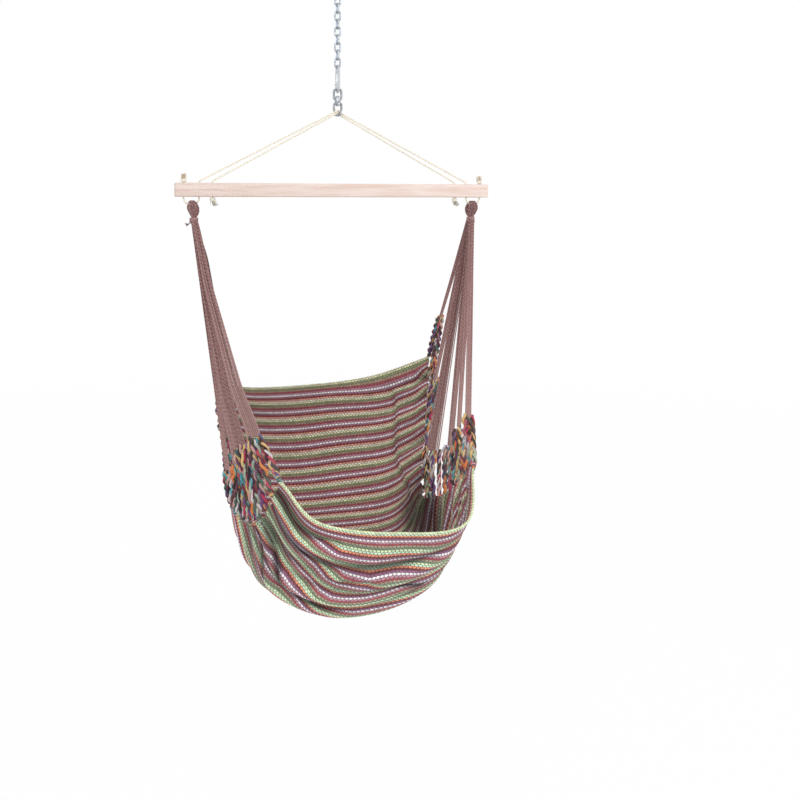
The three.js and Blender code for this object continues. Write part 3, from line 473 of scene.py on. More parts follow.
random.seed(5)
for node, start, lift, knot_up in (
        ("outer_rope", [((knot_hole, 0, bar_top + 0.008), 0), ((knot_hole, 0, loop_height), loop_bend),
                        ((loop_hole, 0, loop_height), loop_bend)], crossing_lift, 1),
        ("inner_rope", [((rope_hole, 0, bar_under - 0.008), 0)], 0.0, -1)):
    strands = laid_strands(rope_route(start, lift), strand_offset, 0.0022)
    middle = bar_top + knot_rise if knot_up > 0 else bar_under - knot_rise
    frays = []
    for side in (-1, 1):
        centre = side * abs(start[0][0][0])
        strands += laid_strands(knot_path(centre, knot_up, middle), knot_strand_offset, 0.0018)
        for _ in range(fray_count):
            lean = np.array([random.gauss(0.0005 if knot_up > 0 else 0.0075, fray_lean),
                             random.gauss(0, fray_lean), knot_up * random.uniform(0.013, 0.0195)])
            foot = np.array([centre + random.gauss(0, fray_spread), random.gauss(0, fray_spread),
                             middle + knot_up * 0.002])
            bow = np.array([random.gauss(0, fray_bow), random.gauss(0, fray_bow), 0])
            frays.append([foot + lean * t + bow * math.sin(math.pi * t)
                          for t in np.linspace(0, 1, len(fray_taper))])
    rope = tubes(node + "_shown", strands, strand_thick, rope_yarn, sides=8)
    fray = tubes(node + "_fray", frays, fray_thick, fray_yarns[knot_up], sides=4,
                 sizes=[fray_taper] * len(frays))
    for made in (rope, fray):
        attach(made, "bar")
    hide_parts(node)


# Eyes of the sling: all the cords of one side run up, over the rope's loop and down again,
# and are wrapped with cord under it.
eye_x = bar_length / 2 - 0.0505
neck_inset = 0.006
neck_x = eye_x - neck_inset
eye_thick = 0.009
eye_top = loop_height + rope_thick / 2 + rope_play + eye_thick / 2
eye_height = 0.057
eye_end = eye_top - eye_height
eye_depth = 0.037
eye_neck_width = 0.011
eye_swell = 0.025
eye_rows, eye_row_cords = 2, 11
eye_cord_thick = 0.0036
eye_half_depth = (eye_depth - eye_thick) / 2
eye_profile = [
    (eye_thick / 2 * 1.1, 1.08), (eye_thick / 2 * 1.1, 0.86), (eye_half_depth * 0.8, 0.62),
    (eye_half_depth, 0.36), (eye_half_depth * 0.78, 0.13), (eye_half_depth * 0.4, 0.03)]
binding_thick = 0.027
binding_height = 0.019
wrap_radius = binding_thick / 2 - 0.0013
wrap_turns, wrap_steps = 8, 14
wrap_thick = 0.0024
cord_lay = 0.012

mauve, tree, shader = new_finish("mauve_cord", 0.92)
turned = angle_round(tree)
along, tone = stored(tree, "along"), stored(tree, "tone")
start = calc(tree, "MULTIPLY_ADD", turned, 2, calc(tree, "MULTIPLY", tone, 97.0))
twist = calc(tree, "ADD", start, calc(tree, "MULTIPLY", along, 2 * math.pi / cord_lay))
plies = calc(tree, "MULTIPLY_ADD", calc(tree, "SINE", twist), 0.5, 0.5)
place = object_place(tree)
mottle = noise(tree, place, 420, 2)
# Painted shade: each cord is darker near the start of its line, at the top of the fan where the cords lie
# close together, and lighter further along.
painted_top_shade = calc(tree, "MULTIPLY_ADD", along, 0.60, -0.24)
# Mottle and tone. In the fan's groups the tone is partly each cord's random tone and partly painted shade.
mottle_and_shade = calc(tree, "ADD", calc(tree, "MULTIPLY", mottle, 0.4), calc(tree, "MULTIPLY", tone, 0.4))
shade = calc(tree, "ADD", calc(tree, "MULTIPLY_ADD", plies, 0.4, painted_top_shade), mottle_and_shade)
base = colour_steps(tree, shade, [
    (0.25, (0.115, 0.050, 0.048)), (0.5, (0.27, 0.128, 0.120)), (0.8, (0.45, 0.275, 0.26))])
flecked = calc(tree, "GREATER_THAN", noise(tree, place, 700, 1), 0.66)
mixed = add(tree, "ShaderNodeMix", {"data_type": "RGBA"}, {0: flecked, 6: base, 7: (0.60, 0.45, 0.42, 1)})
dress(tree, shader, mixed.outputs[2], plies, 0.0006, 0.8)
shader.inputs["Sheen Weight"].default_value = 0.2

for label, side in (("left", -1), ("right", 1)):
    front = [np.array((side * (eye_x - neck_inset * min(1, drop / 0.62)), -y, eye_top - drop * eye_height))
             for y, drop in eye_profile]
    rear = [p * (1, -1, 1) for p in reversed(front)]
    corners = front + [np.array((side * eye_x, 0, eye_top))] + rear
    line = spaced(rounded_path([(p, 0) for p in corners]), 0.003)
    from_top = np.abs(2 * np.linspace(0, 1, len(line)) - 1)
    wide = eye_neck_width + np.sin(np.pi * np.minimum(from_top / 0.8, 1)) * eye_swell
    ahead = np.gradient(line, axis=0)
    normal = np.stack([np.zeros(len(line)), -ahead[:, 2], ahead[:, 1]], axis=1)
    normal /= np.linalg.norm(normal, axis=1)[:, None]
    cords, tones = [], []
    for row in range(eye_rows):
        for k in range(eye_row_cords):
            place = (k + 0.5 + 0.5 * (row % 2)) / (eye_row_cords + 0.5) * 2 - 1
            offset = np.zeros((len(line), 3))
            offset[:, 0] = place * wide / 2 * 0.88
            cords.append(line + offset + normal * ((row - 0.5) * eye_thick * 0.42))
            tones.append(random.random())
    eye = tubes(label + "_eye_shown", cords, eye_cord_thick, mauve, sides=6, tones=tones)
    wrap = []
    for k in range(wrap_turns * wrap_steps + 1):
        angle = 2 * math.pi * k / wrap_steps
        rise = k / (wrap_turns * wrap_steps)
        wrap.append((side * neck_x + wrap_radius * math.cos(angle), wrap_radius * math.sin(angle),
                     eye_end - binding_height / 2 + binding_height * (0.06 + 0.88 * rise)))
    wrap.append((side * neck_x + 0.4 * binding_thick, 0, eye_end + binding_height / 2 - 0.002))
    wraps = [wrap]
    for k in range(4):
        foot = np.array((side * (neck_x + 0.0125), -0.003 - 0.001 * k, eye_end - binding_height * 0.4))
        wraps.append([foot + np.array((-0.010 * t * (1 + 0.15 * k), 0, -0.009 * t + 0.003 * k * t * t))
                      for t in (0, 0.35, 0.7, 1)])
    binding = tubes(label + "_binding_shown", wraps, wrap_thick, mauve, sides=6,
                    tones=[0.75, 0.2, 0.9, 0.1, 0.5])
    for made, node in ((eye, "_eye"), (binding, "_binding")):
        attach(made, "sling")
        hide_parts(label + node)


# Cloth: hand-woven from thick soft yarns that run from left to right, in ten colours that repeat.
# A thin twisted thread binds them, so that each yarn shows as a row of beads. The cloth hangs by
# its two gathered sides and makes the back, the seat and the front in one piece.
cloth_half_width, cloth_depth, cloth_drop = 0.34, 0.56, 1.245
net_shares = np.array([
    [[-0.929, 0.489, 0.506], [-0.518, 0.641, 0.532], [0.071, 0.721, 0.537],
     [0.682, 0.677, 0.518], [1.2, 0.489, 0.456]],
    [[-0.944, 0.471, 0.602], [-0.591, 0.659, 0.667], [0.041, 0.743, 0.687],
     [0.694, 0.641, 0.655], [1.156, 0.445, 0.59]],
    [[-0.889, 0.391, 0.691], [-0.709, 0.543, 0.791], [0.012, 0.623, 0.827],
     [0.703, 0.525, 0.803], [1.056, 0.364, 0.723]],
    [[-0.921, 0.221, 0.751], [-0.772, 0.311, 0.884], [-0.032, 0.364, 0.924],
     [0.711, 0.302, 0.904], [0.962, 0.221, 0.803]],
    [[-0.925, 0.043, 0.771], [-0.757, 0.061, 0.922], [-0.047, 0.061, 0.976],
     [0.728, 0.061, 0.937], [0.928, 0.043, 0.789]],
    [[-0.912, -0.171, 0.767], [-0.74, -0.225, 0.926], [-0.123, -0.27, 0.994],
     [0.724, -0.225, 0.94], [0.934, -0.171, 0.753]],
    [[-0.897, -0.386, 0.747], [-0.734, -0.511, 0.879], [-0.136, -0.582, 0.937],
     [0.664, -0.493, 0.888], [0.93, -0.35, 0.707]],
    [[-0.867, -0.582, 0.707], [-0.664, -0.725, 0.793], [-0.1, -0.823, 0.835],
     [0.637, -0.707, 0.804], [0.881, -0.546, 0.662]],
    [[-0.814, -0.743, 0.614], [-0.578, -0.921, 0.683], [-0.045, -0.993, 0.707],
     [0.641, -0.859, 0.724], [0.8, -0.743, 0.616]]])
net = net_shares * (cloth_half_width, cloth_depth, -cloth_drop) + (0, 0, bar_height)


def smooth_rows(points, share):
    padded = np.concatenate([[2 * points[0] - points[1]], points, [2 * points[-1] - points[-2]]])
    place = np.clip(share, 0, 1) * (len(points) - 1)
    i = np.minimum(place.astype(int), len(points) - 2)
    t = (place - i).reshape((-1,) + (1,) * (points.ndim - 1))
    a, b, c, d = (padded[i + k] for k in range(4))
    return 0.5 * (2 * b + (c - a) * t + (2 * a - 5 * b + 4 * c - d) * t ** 2
                  + (3 * b - a - 3 * c + d) * t ** 3)


def cloth_grid(us, vs):
    if vs.ndim == 1:
        vs = np.repeat(vs[:, None], len(us), axis=1)
    across = smooth_rows(net.transpose(1, 0, 2), us)
    return np.stack([smooth_rows(across[j], vs[:, j]) for j in range(len(us))], axis=1)


def grid_steps(us, vs, step=1e-3):
    along_u = cloth_grid(np.minimum(us + step, 1), vs) - cloth_grid(np.maximum(us - step, 0), vs)
    along_v = cloth_grid(us, np.minimum(vs + step, 1)) - cloth_grid(us, np.maximum(vs - step, 0))
    return along_u, along_v


def unit_grid(vectors):
    return vectors / np.linalg.norm(vectors, axis=2)[:, :, None]


def ease(x, low, high):
    t = np.clip((x - low) / (high - low), 0, 1)
    return t * t * (3 - 2 * t)


# Tucks are deep folds that swallow some yarns. Each is a line of (place across, place down, share
# of the length swallowed), with its depth and how far below the fold its cloth comes from.
tucks = [
    ([(0, 0.962, 0.036), (0.14, 0.957, 0.036), (0.24, 0.957, 0.026), (0.36, 0.962, 0)], 0.016, 0.19),
    ([(0, 0.925, 0.036), (0.07, 0.925, 0.038), (0.20, 0.918, 0.036), (0.31, 0.905, 0.024),
      (0.40, 0.893, 0)], 0.015, 0.17),
    ([(0, 0.850, 0.012), (0.09, 0.846, 0.028), (0.145, 0.836, 0.040), (0.21, 0.812, 0.046),
      (0.25, 0.787, 0.046), (0.31, 0.752, 0.036), (0.40, 0.738, 0.016), (0.50, 0.735, 0)], 0.026, 0.09),
    ([(0, 0.77, 0.020), (0.10, 0.75, 0.024), (0.20, 0.71, 0.020), (0.28, 0.67, 0)], 0.014, 0),
    ([(0.43, 0.838, 0), (0.50, 0.850, 0.012), (0.56, 0.849, 0.030), (0.61, 0.838, 0.042),
      (0.68, 0.825, 0.040), (0.80, 0.780, 0.020), (0.90, 0.74, 0)], 0.015, 0),
    ([(0.36, 0.862, 0), (0.42, 0.872, 0.016), (0.48, 0.878, 0.022), (0.55, 0.862, 0)], 0.010, 0)]
tuck_reach, tuck_mouth = 0.07, 0.003
full_tuck = 0.036
fine_down = np.linspace(0, 1, 1601)


def hump(x, width):
    return np.exp(-(x / width) ** 2)


# The yarns are spaced by a density that is high in a tuck's mouth, where they are swallowed, and
# lower around the place that they come from.
def tucked(us, vs):
    places = np.empty((len(vs), len(us)))
    sunk = np.zeros((len(vs), len(us)))
    shade = np.zeros((len(vs), len(us)))
    for j, u in enumerate(us):
        density = np.ones(len(fine_down))
        lines = []
        for line, depth, below in tucks:
            across, down, swallowed = zip(*line)
            centre, share = np.interp(u, across, down), np.interp(u, across, swallowed, left=0, right=0)
            if share <= 0:
                continue
            mouth = hump(fine_down - centre, tuck_mouth)
            around = hump(fine_down - centre + below, tuck_reach + 0.3 * below)
            density += share * len(fine_down) * (mouth / mouth.sum() - around / around.sum())
            lines.append((centre, share, depth * min(share / full_tuck, 1)))
        density = np.maximum(density, 0.5)
        label = np.concatenate([[0], np.cumsum((density[1:] + density[:-1]) / 2)])
        label /= label[-1]
        places[:, j] = np.interp(vs, label, fine_down)
        for centre, share, depth in lines:
            off = np.abs(vs - np.interp(centre, fine_down, label)) / (share / 2)
            sunk[:, j] = np.maximum(sunk[:, j], depth * np.clip(1 - off, 0, 1))
            # Painted shade: the cloth's colour is darkened at each tuck's mouth.
            mouth = hump(places[:, j] - centre, 0.005 + 0.2 * depth)
            shade[:, j] = np.maximum(shade[:, j], mouth * min(depth / 0.013, 1.5))
    u = us[None, :]
    low = ease(places, 0.60, 0.90) * np.minimum((1 - places) / 0.07, 1)
    places = places - 0.062 * low * ease(u, 0.55, 0.78) * (1 - ease(u, 0.85, 1))
    back = 1 - ease(places, 0.30, 0.36)
    ridge = 0.865 + 0.02 * np.sin(24 * places) + 0.25 * (places - 0.2)
    right = ease(places, 0, 0.03) * (0.020 - 0.012 * ease(places, 0.06, 0.25)) * ease(u, 0.55, 0.86)
    step = ease(places, 0.02, 0.06) * 0.008 * ease(u, ridge - 0.012, ridge + 0.012)
    left = 0.007 * ease(places, 0.05, 0.22) * (1 - ease(u, 0.4, 0.7))
    places = places + back * (right - step + left) * (1 - ease(u, 0.93, 1))
    dent = ease(places, 0.02, 0.06) * back * hump(u - ridge, 0.014)
    return np.clip(places, 0, 1), sunk + 0.004 * dent, shade, dent


# Waves are the soft folds: pleats out of the gathered sides, broad folds under the front, and two
# slow ones across the seat. Each gives its height, its phase and how sharp its crests are.
def fold_waves(us, vs):
    u, v = us[None, :], vs
    edge = np.minimum(u, 1 - u) * 2 * cloth_half_width
    left = 1 - ease(u, 0.25, 0.75)
    front = ease(v, 0.42, 0.62)
    corner = ease(u, 0.7, 0.9) * ease(v, 0.3, 0.4) * (1 - ease(v, 0.8, 0.95))
    rims = ease(v, 0, 0.03) * (1 - 0.75 * ease(v, 0.955, 1))
    middle = np.sin(math.pi * u) * front * (1 - ease(v, 0.93, 1))
    pleat = (0.0085 + 0.002 * np.sin(23 * v + 1) + 0.004 * corner) * np.exp(-edge / (0.075 + 0.05 * corner))
    broad = (0.0150 * (1 - np.exp(-edge / 0.05)) * np.exp(-edge / 0.17)
             * (0.25 + 0.75 * front * (0.4 + 0.6 * left)))
    waves = [
        (20, 0.5 * np.sin(7 * v), 0.0, pleat, 0.60),
        (9.5, 5 * edge + 0.5 * np.sin(5 * v), 0.2, broad, 0.75),
        (13, 3.2 * (u - 0.45) + 0.8 * np.sin(6 * u), 0.6, 0.0055 * middle, 0.7),
        (7, -5.0 * (u - 0.5), 0.1, 0.0062 * middle * (1 - 0.5 * left), 0.6)]
    return [(height * rims, 2 * math.pi * (turns * v + start) + lean, sharp)
            for turns, lean, start, height, sharp in waves]


def cloth_places(us, vs, folded=True):
    vs, sunk = tucked(us, vs)[:2] if folded else (np.repeat(vs[:, None], len(us), axis=1), 0)
    u, v = us[None, :], vs
    ripple = 0.0015 * np.sin(9 * v + 7 * u + 1.5 * np.sin(11 * u - 4 * v))
    lift = -sunk + ripple + 0.0008 * np.sin(31 * v - 13 * u)
    slide = 0
    for height, phase, sharp in fold_waves(us, vs):
        lift = lift + height * np.cos(phase)
        slide = slide + sharp * height * np.sin(phase)
    along_u, along_v = grid_steps(us, vs)
    normals = unit_grid(np.cross(along_u, along_v))
    return cloth_grid(us, vs) + normals * lift[:, :, None] + unit_grid(along_v) * slide[:, :, None]


# Painted shade: darkens the cloth's colour where shade falls. On the outer face this is in the valleys of
# the soft folds, at the tucks' mouths and along the left front pleats. On the inner face it is in the
# valleys, the dent and the inner right corner.
def cloth_fold_shade(us, vs, inside):
    vs, _, shade, dent = tucked(us, vs)
    u = us[None, :]
    corner = 0.95 * ease(u, 0.72, 0.90) * ease(vs, 0.27, 0.38) * (1 - ease(vs, 0.52, 0.75))
    left_pleat_shade = 0.42 * (1 - ease(u, 0.06, 0.26)) * ease(vs, 0.48, 0.6) * (1 - ease(vs, 0.90, 0.97))
    depth = 0.25 * dent + corner if inside else shade + left_pleat_shade
    for height, phase, _ in fold_waves(us, vs):
        valley = (1 + (1 if inside else -1) * np.cos(phase)) / 2
        depth = depth + np.minimum(height / 0.008, 1) * (0.80 * valley ** 7 + 0.12 * valley ** 2)
    return np.clip(depth, 0, 1)


# The rows are the yarns, spaced evenly along the middle of the cloth, and the columns are half a
# bead apart. The two faces are joined round the edge, which is rolled thicker at the two rims.
yarn_pitch = 0.00565
cloth_width = 0.95
bead_rise = 0.00075
cloth_half_thick, rim_half_thick = 0.0011, 0.0016
fine_v = np.linspace(0, 1, 401)
middle = cloth_grid(np.linspace(0.25, 0.75, 9), fine_v)
run = np.concatenate([[0], np.cumsum(np.linalg.norm(np.diff(middle, axis=0), axis=2).mean(axis=1))])
cloth_length = float(run[-1])
yarn_count = int(round(cloth_length / yarn_pitch / 10)) * 10 + 2
row_v = np.interp(np.linspace(0, cloth_length, yarn_count), run, fine_v)
column_count = 2 * int(round(cloth_width / yarn_pitch / 2)) + 1
column_u = np.linspace(0, 1, column_count)
middle_surface = cloth_places(column_u, row_v)
outward = unit_grid(np.cross(np.gradient(middle_surface, axis=1), np.gradient(middle_surface, axis=0)))
beads = ((np.arange(yarn_count)[:, None] + np.arange(column_count)[None, :]) % 2) * 2.0 - 1
rim = np.minimum(np.arange(yarn_count), np.arange(yarn_count)[::-1])[:, None]
bead_height = bead_rise * np.where(rim < 1, 0.3, 1.0)
half_thick = cloth_half_thick + rim_half_thick * hump(rim, 1.3)
layers = [middle_surface + outward * (beads * bead_height + face * half_thick)[:, :, None]
          for face in (-1, 1)]
points = np.concatenate([layer.reshape(-1, 3) for layer in layers])
face_size = yarn_count * column_count
index = np.arange(face_size).reshape(yarn_count, column_count)
a, b, c, d = (corner.ravel() for corner in (index[:-1, :-1], index[1:, :-1], index[1:, 1:], index[:-1, 1:]))
quads = [np.stack([a, b, c, d], 1), np.stack([a, d, c, b], 1) + face_size]
for edge_line, flip in ((index[0], False), (index[-1], True), (index[:, 0], True), (index[:, -1], False)):
    p, q = edge_line[:-1], edge_line[1:]
    strip = np.stack([p, q, q + face_size, p + face_size], 1)
    quads.append(strip[:, ::-1] if flip else strip)
quads = np.concatenate(quads)
mesh = bpy.data.meshes.new("cloth_shown")
mesh.from_pydata([tuple(p) for p in points.tolist()], [], quads.tolist())

# The weave's map counts columns and yarns in hundreds. It is shifted by one column on the inner
# face, because the outer face's beads are hollows there.
across, down = np.meshgrid(np.arange(column_count), np.arange(yarn_count))
place = np.stack([across.ravel(), down.ravel()], 1).astype(float)
place = np.concatenate([place + (1, 0), place])
corner = np.empty(len(mesh.loops), dtype=np.int32)
mesh.loops.foreach_get("vertex_index", corner)
mesh.uv_layers.new(name="weave").data.foreach_set("uv", (place[corner] / 100).ravel())
# Painted shade for the folds, stored per vertex on each face.
fold_shades = np.concatenate([cloth_fold_shade(column_u, row_v, inside).ravel() for inside in (True, False)])
for label, values in (("crease", fold_shades), ("outer", np.repeat([0.0, 1.0], face_size))):
    mesh.attributes.new(label, "FLOAT", "POINT").data.foreach_set("value", values)
for face in mesh.polygons:
    face.use_smooth = True

stripe_colours = [
    (0.881, 0.407, 0.322), (0.900, 0.873, 0.735), (0.836, 0.851, 0.538), (0.262, 0.336, 0.170),
    (0.422, 0.301, 0.221), (0.393, 0.070, 0.096), (0.535, 0.238, 0.342), (0.970, 0.945, 0.970),
    (0.406, 0.201, 0.308), (0.283, 0.033, 0.036)]
# Painted light: the lit outer face gets a brighter, more saturated copy of the stripe colours.
lit_face_colours = [
    (0.90, 0.32, 0.17), (0.66, 0.93, 0.70), (0.74, 0.92, 0.56), (0.21, 0.30, 0.19),
    (0.46, 0.39, 0.28), (0.47, 0.07, 0.09), (0.56, 0.28, 0.36), (0.98, 0.95, 0.98),
    (0.34, 0.14, 0.27), (0.22, 0.04, 0.06)]


def even_steps(tree, value, colours, count):
    stops = [(i / count, colour) for i, colour in enumerate(colours)]
    return colour_steps(tree, value, stops, "CONSTANT")


woven, tree, shader = new_finish("striped_weave", 0.95)
weave = add(tree, "ShaderNodeUVMap", {"uv_map": "weave"})
split = add(tree, "ShaderNodeSeparateXYZ", None, {0: weave.outputs[0]})
s = calc(tree, "MULTIPLY", split.outputs[0], 100.0)
t = calc(tree, "MULTIPLY", split.outputs[1], 100.0)
yarn = calc(tree, "ROUND", t)
stripe = calc(tree, "FRACT", calc(tree, "DIVIDE", calc(tree, "ADD", yarn, 1.5), 10.0))
outer = stored(tree, "outer")
yarn_colour = add(tree, "ShaderNodeMix", {"data_type": "RGBA"}, {
    0: outer, 6: even_steps(tree, stripe, stripe_colours, 10),
    7: even_steps(tree, stripe, lit_face_colours, 10)}).outputs[2]
odd = calc(tree, "MODULO", yarn, 2.0)
bead_s = calc(tree, "DIVIDE", calc(tree, "ADD", s, odd), 2.0)
from_bead = calc(tree, "SUBTRACT", calc(tree, "FRACT", bead_s), 0.5)
from_yarn = calc(tree, "SUBTRACT", t, yarn)
length_share = calc(tree, "POWER", calc(tree, "ABSOLUTE", calc(tree, "MULTIPLY", from_bead, 2.25)), 2.6)
width_share = calc(tree, "POWER", calc(tree, "ABSOLUTE", calc(tree, "MULTIPLY", from_yarn, 2.02)), 2.4)
fall = calc(tree, "ADD", length_share, width_share)
bead = mapped(tree, fall, 0.75, 1.15, 1.0, 0.0)
dome = calc(tree, "SUBTRACT", 1.0, calc(tree, "MINIMUM", fall, 1.0))
strands = calc(tree, "MULTIPLY_ADD", calc(tree, "SINE", calc(tree, "MULTIPLY", from_yarn, 26.0)), 0.5, 0.5)
place = object_place(tree)
fuzz = noise(tree, place, 900, 2)
thread_colour = colour_steps(tree, noise(tree, place, 330, 1), [
    (0.0, (0.06, 0.05, 0.06)), (0.42, (0.10, 0.07, 0.06)), (0.5, (0.28, 0.16, 0.10)),
    (0.56, (0.10, 0.16, 0.14)), (0.62, (0.30, 0.08, 0.09)), (0.70, (0.45, 0.36, 0.28))], "CONSTANT")
bead_key = add(tree, "ShaderNodeCombineXYZ", None, {0: calc(tree, "FLOOR", bead_s), 1: yarn, 2: 0.5})
bead_tone = add(tree, "ShaderNodeTexWhiteNoise", {"noise_dimensions": "3D"}, {"Vector": bead_key.outputs[0]})
fuzzy = calc(tree, "MULTIPLY_ADD", fuzz, 0.5, calc(tree, "MULTIPLY_ADD", strands, 0.16, 0.62))
uneven = calc(tree, "MULTIPLY_ADD", bead_tone.outputs["Value"], 0.36, 0.82)
# Painted light: the outer face is also made 20 % brighter than the inner one.
lit = calc(tree, "MULTIPLY", fuzzy, calc(tree, "MULTIPLY_ADD", outer, 0.20, uneven))
mixed = add(tree, "ShaderNodeMix", {"data_type": "RGBA"},
            {0: bead, 6: thread_colour, 7: tinted(tree, yarn_colour, lit)})
# Painted shade: the stored fold shade darkens the weave's colour by up to 80 %.
shaded = tinted(tree, mixed.outputs[2], calc(tree, "MULTIPLY_ADD", stored(tree, "crease"), -0.80, 1.0))
dress(tree, shader, shaded, calc(tree, "ADD", dome, calc(tree, "MULTIPLY", strands, 0.12)), 0.0014, 0.55)
shader.inputs["Sheen Weight"].default_value = 0.15
mesh.materials.append(woven)
cloth = placed("cloth_shown", mesh)
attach(cloth, "sling")
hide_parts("cloth")


# Cords: on each side seven flat groups of twisted mauve cords fan out from the binding.
# Each group ends in braids, 115 to 205 mm from the cloth's edge. In each table the first number
# is for the group at the back and the last for the one at the front.
group_count = 7
braid_lengths = {-1: [0.158, 0.158, 0.142, 0.134, 0.174, 0.229, 0.201],
                 1: [0.158, 0.158, 0.158, 0.158, 0.158, 0.182, 0.174]}
anchors = {-1: [0, 0.17, 0.33, 0.5, 0.66, 0.8, 0.92], 1: [0, 0.16, 0.39, 0.475, 0.6, 0.74, 0.93]}
end_widths = {-1: [0.4, 0.5, 0.42, 0.38, 0.42, 0.9, 1], 1: [0.25, 0.3, 0.6, 1.15, 0.5, 0.35, 0.5]}
braid_spreads = {-1: [0.003, 0.004, 0.007, 0.009, 0.009, 0.014, 0.015],
                 1: [0.006, 0.007, 0.016, 0.026, 0.016, 0.012, 0.010]}
end_drops = {-1: [0, 0, 0.010, 0.018, 0.022, 0.024, 0.022],
             1: [-0.010, 0, 0.004, 0.006, 0.004, 0.012, 0.022]}
fan_pulls = {-1: 0.013, 1: 0}
# Painted shade and light per group: groups that lie in shade get low values and are darker, lit groups get
# high ones.
group_shades = {-1: [0.0, 0.0, 0.0, 0.0, 0.1, 0.4, 0.7], 1: [0.8, 0.8, 0.1, 0.4, 0.6, 0.8, 0.9]}
full_end_width = 0.042
group_pitch = 0.0031
neck_half_width = 0.0085
cord_thick = 0.0034
cord_row_gap = 0.0036
cord_bow = 0.0025


def edge_place(side, v, inset=0.0):
    u = inset if side < 0 else 1.0 - inset
    return cloth_places(np.array([u]), np.array([float(v)]), folded=False)[0, 0]


def group_route(side, k):
    y = (k - (group_count - 1) / 2) * group_pitch
    top = np.array((side * neck_x, -y, eye_end - 0.0003))
    edge = edge_place(side, anchors[side][k])
    end = edge + unit(top - edge) * (braid_lengths[side][k] - end_drops[side][k])
    end[0] += 0.009 if side < 0 and k < 2 else 0
    return top, end


def ribbon_axes(top, end):
    down = unit(end - top)
    wide = unit(np.array((1.0, 0, 0)) - down * down[0])
    return down, wide, np.cross(down, wide)


random.seed(11)
for label, side in (("left", -1), ("right", 1)):
    for k in range(group_count):
        top, end = group_route(side, k)
        down, wide, thin = ribbon_axes(top, end)
        half_spread = full_end_width * end_widths[side][k] / 2 - cord_thick / 2
        cord_count = 15 if end_widths[side][k] >= 0.6 else 11
        cords, tones = [], []
        for i in range(cord_count):
            place = (i + 0.5) / cord_count * 2 - 1
            depth = (i % 2 - 0.5) * cord_row_gap
            start = top + np.array((place * neck_half_width, random.uniform(-0.0008, 0.0008), 0.004))
            foot = end + wide * place * half_spread + thin * depth - down * random.uniform(0.0, 0.004)
            bow = random.uniform(-cord_bow, cord_bow)
            path = []
            for share in np.linspace(0, 1, 25):
                p = start * (1 - share) + foot * share
                p = p + thin * (bow * math.sin(math.pi * share) + depth * share * (1 - share))
                pull = float(ease(share, 0, 0.35) * (1 - ease(share, 0.75, 1)))
                p[0] += fan_pulls[side] * (1 - k / 3) * pull
                path.append(p)
            cords.append(path)
            # Each cord's tone is half random and half its group's painted shade.
            tones.append(0.5 * random.random() + 0.5 * group_shades[side][k])
        piece = tubes("%s_cords_%d_shown" % (label, k + 1), cords, cord_thick, mauve, sides=6, tones=tones)
        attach(piece, "sling")
        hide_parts("%s_cords_%d" % (label, k + 1))


# Braids: where a group of cords ends, yarns in all the cloth's colours are plaited into three
# braids that part to their places on the gathered edge, and are knotted there.
braids_in_group = 3
braid_yarn_thick = 0.0088
braid_knot_radius = 0.0045
braid_knot_turns = 1.8
braid_knot_height = 0.006
braid_root_inset = 0.012
yarn_colours = [
    (0.78, 0.24, 0.06), (0.09, 0.38, 0.44), (0.74, 0.66, 0.66), (0.50, 0.04, 0.10),
    (0.02, 0.015, 0.025), (0.17, 0.08, 0.24), (0.06, 0.13, 0.11), (0.76, 0.50, 0.20),
    (0.62, 0.38, 0.34), (0.13, 0.03, 0.06), (0.40, 0.50, 0.38), (0.05, 0.04, 0.03)]
braid_yarn, tree, shader = new_finish("braid_yarn", 0.92)
turned = calc(tree, "DIVIDE", angle_round(tree), 2 * math.pi)
wound = calc(tree, "MULTIPLY", stored(tree, "along"), 19.0)
band = calc(tree, "ADD", calc(tree, "MULTIPLY", turned, 2.0), wound)
number = calc(tree, "ADD", calc(tree, "FLOOR", band), calc(tree, "MULTIPLY", stored(tree, "tone"), 1000.0))
chosen = add(tree, "ShaderNodeTexWhiteNoise", {"noise_dimensions": "1D"}, {"W": number})
yarn_mix = even_steps(tree, chosen.outputs["Value"], yarn_colours, len(yarn_colours))
mottle = noise(tree, object_place(tree), 600, 2)
off_middle = calc(tree, "ABSOLUTE", calc(tree, "MULTIPLY_ADD", calc(tree, "FRACT", band), 2.0, -1.0))
gap = calc(tree, "POWER", off_middle, 6.0)
lit = calc(tree, "MULTIPLY_ADD", mottle, 0.5, calc(tree, "MULTIPLY_ADD", gap, -0.5, 0.75))
dress(tree, shader, tinted(tree, yarn_mix, lit), calc(tree, "SUBTRACT", 1.0, gap), 0.001, 0.8)


def plait(line, width, height, pitch, turn):
    line = spaced(line, 0.0035)
    down = unit(line[-1] - line[0])
    flat = unit(np.cross(down, (math.cos(turn), math.sin(turn), 0.2)))
    deep = np.cross(down, flat)
    length = run_along(line)
    fade = np.clip(np.minimum(length, length[-1] - length) / 0.012, 0.35, 1)
    made = []
    for s in range(3):
        angle = 2 * math.pi * (length / pitch + s / 3)
        across, through = width * np.sin(angle) * fade, height * np.sin(2 * angle) * fade
        made.append(line + flat * across[:, None] + deep * through[:, None])
    return made


def knot_turns(centre, axis, radius, turns, rise):
    side = unit(np.cross(axis, (0.2, 0.9, 0.3)))
    up = np.cross(axis, side)
    path = []
    for k in range(int(turns * 10) + 1):
        angle = 2 * math.pi * k / 10
        path.append(centre + side * radius * math.cos(angle) + up * radius * math.sin(angle)
                    + axis * rise * (k / (turns * 10) - 0.5))
    return path


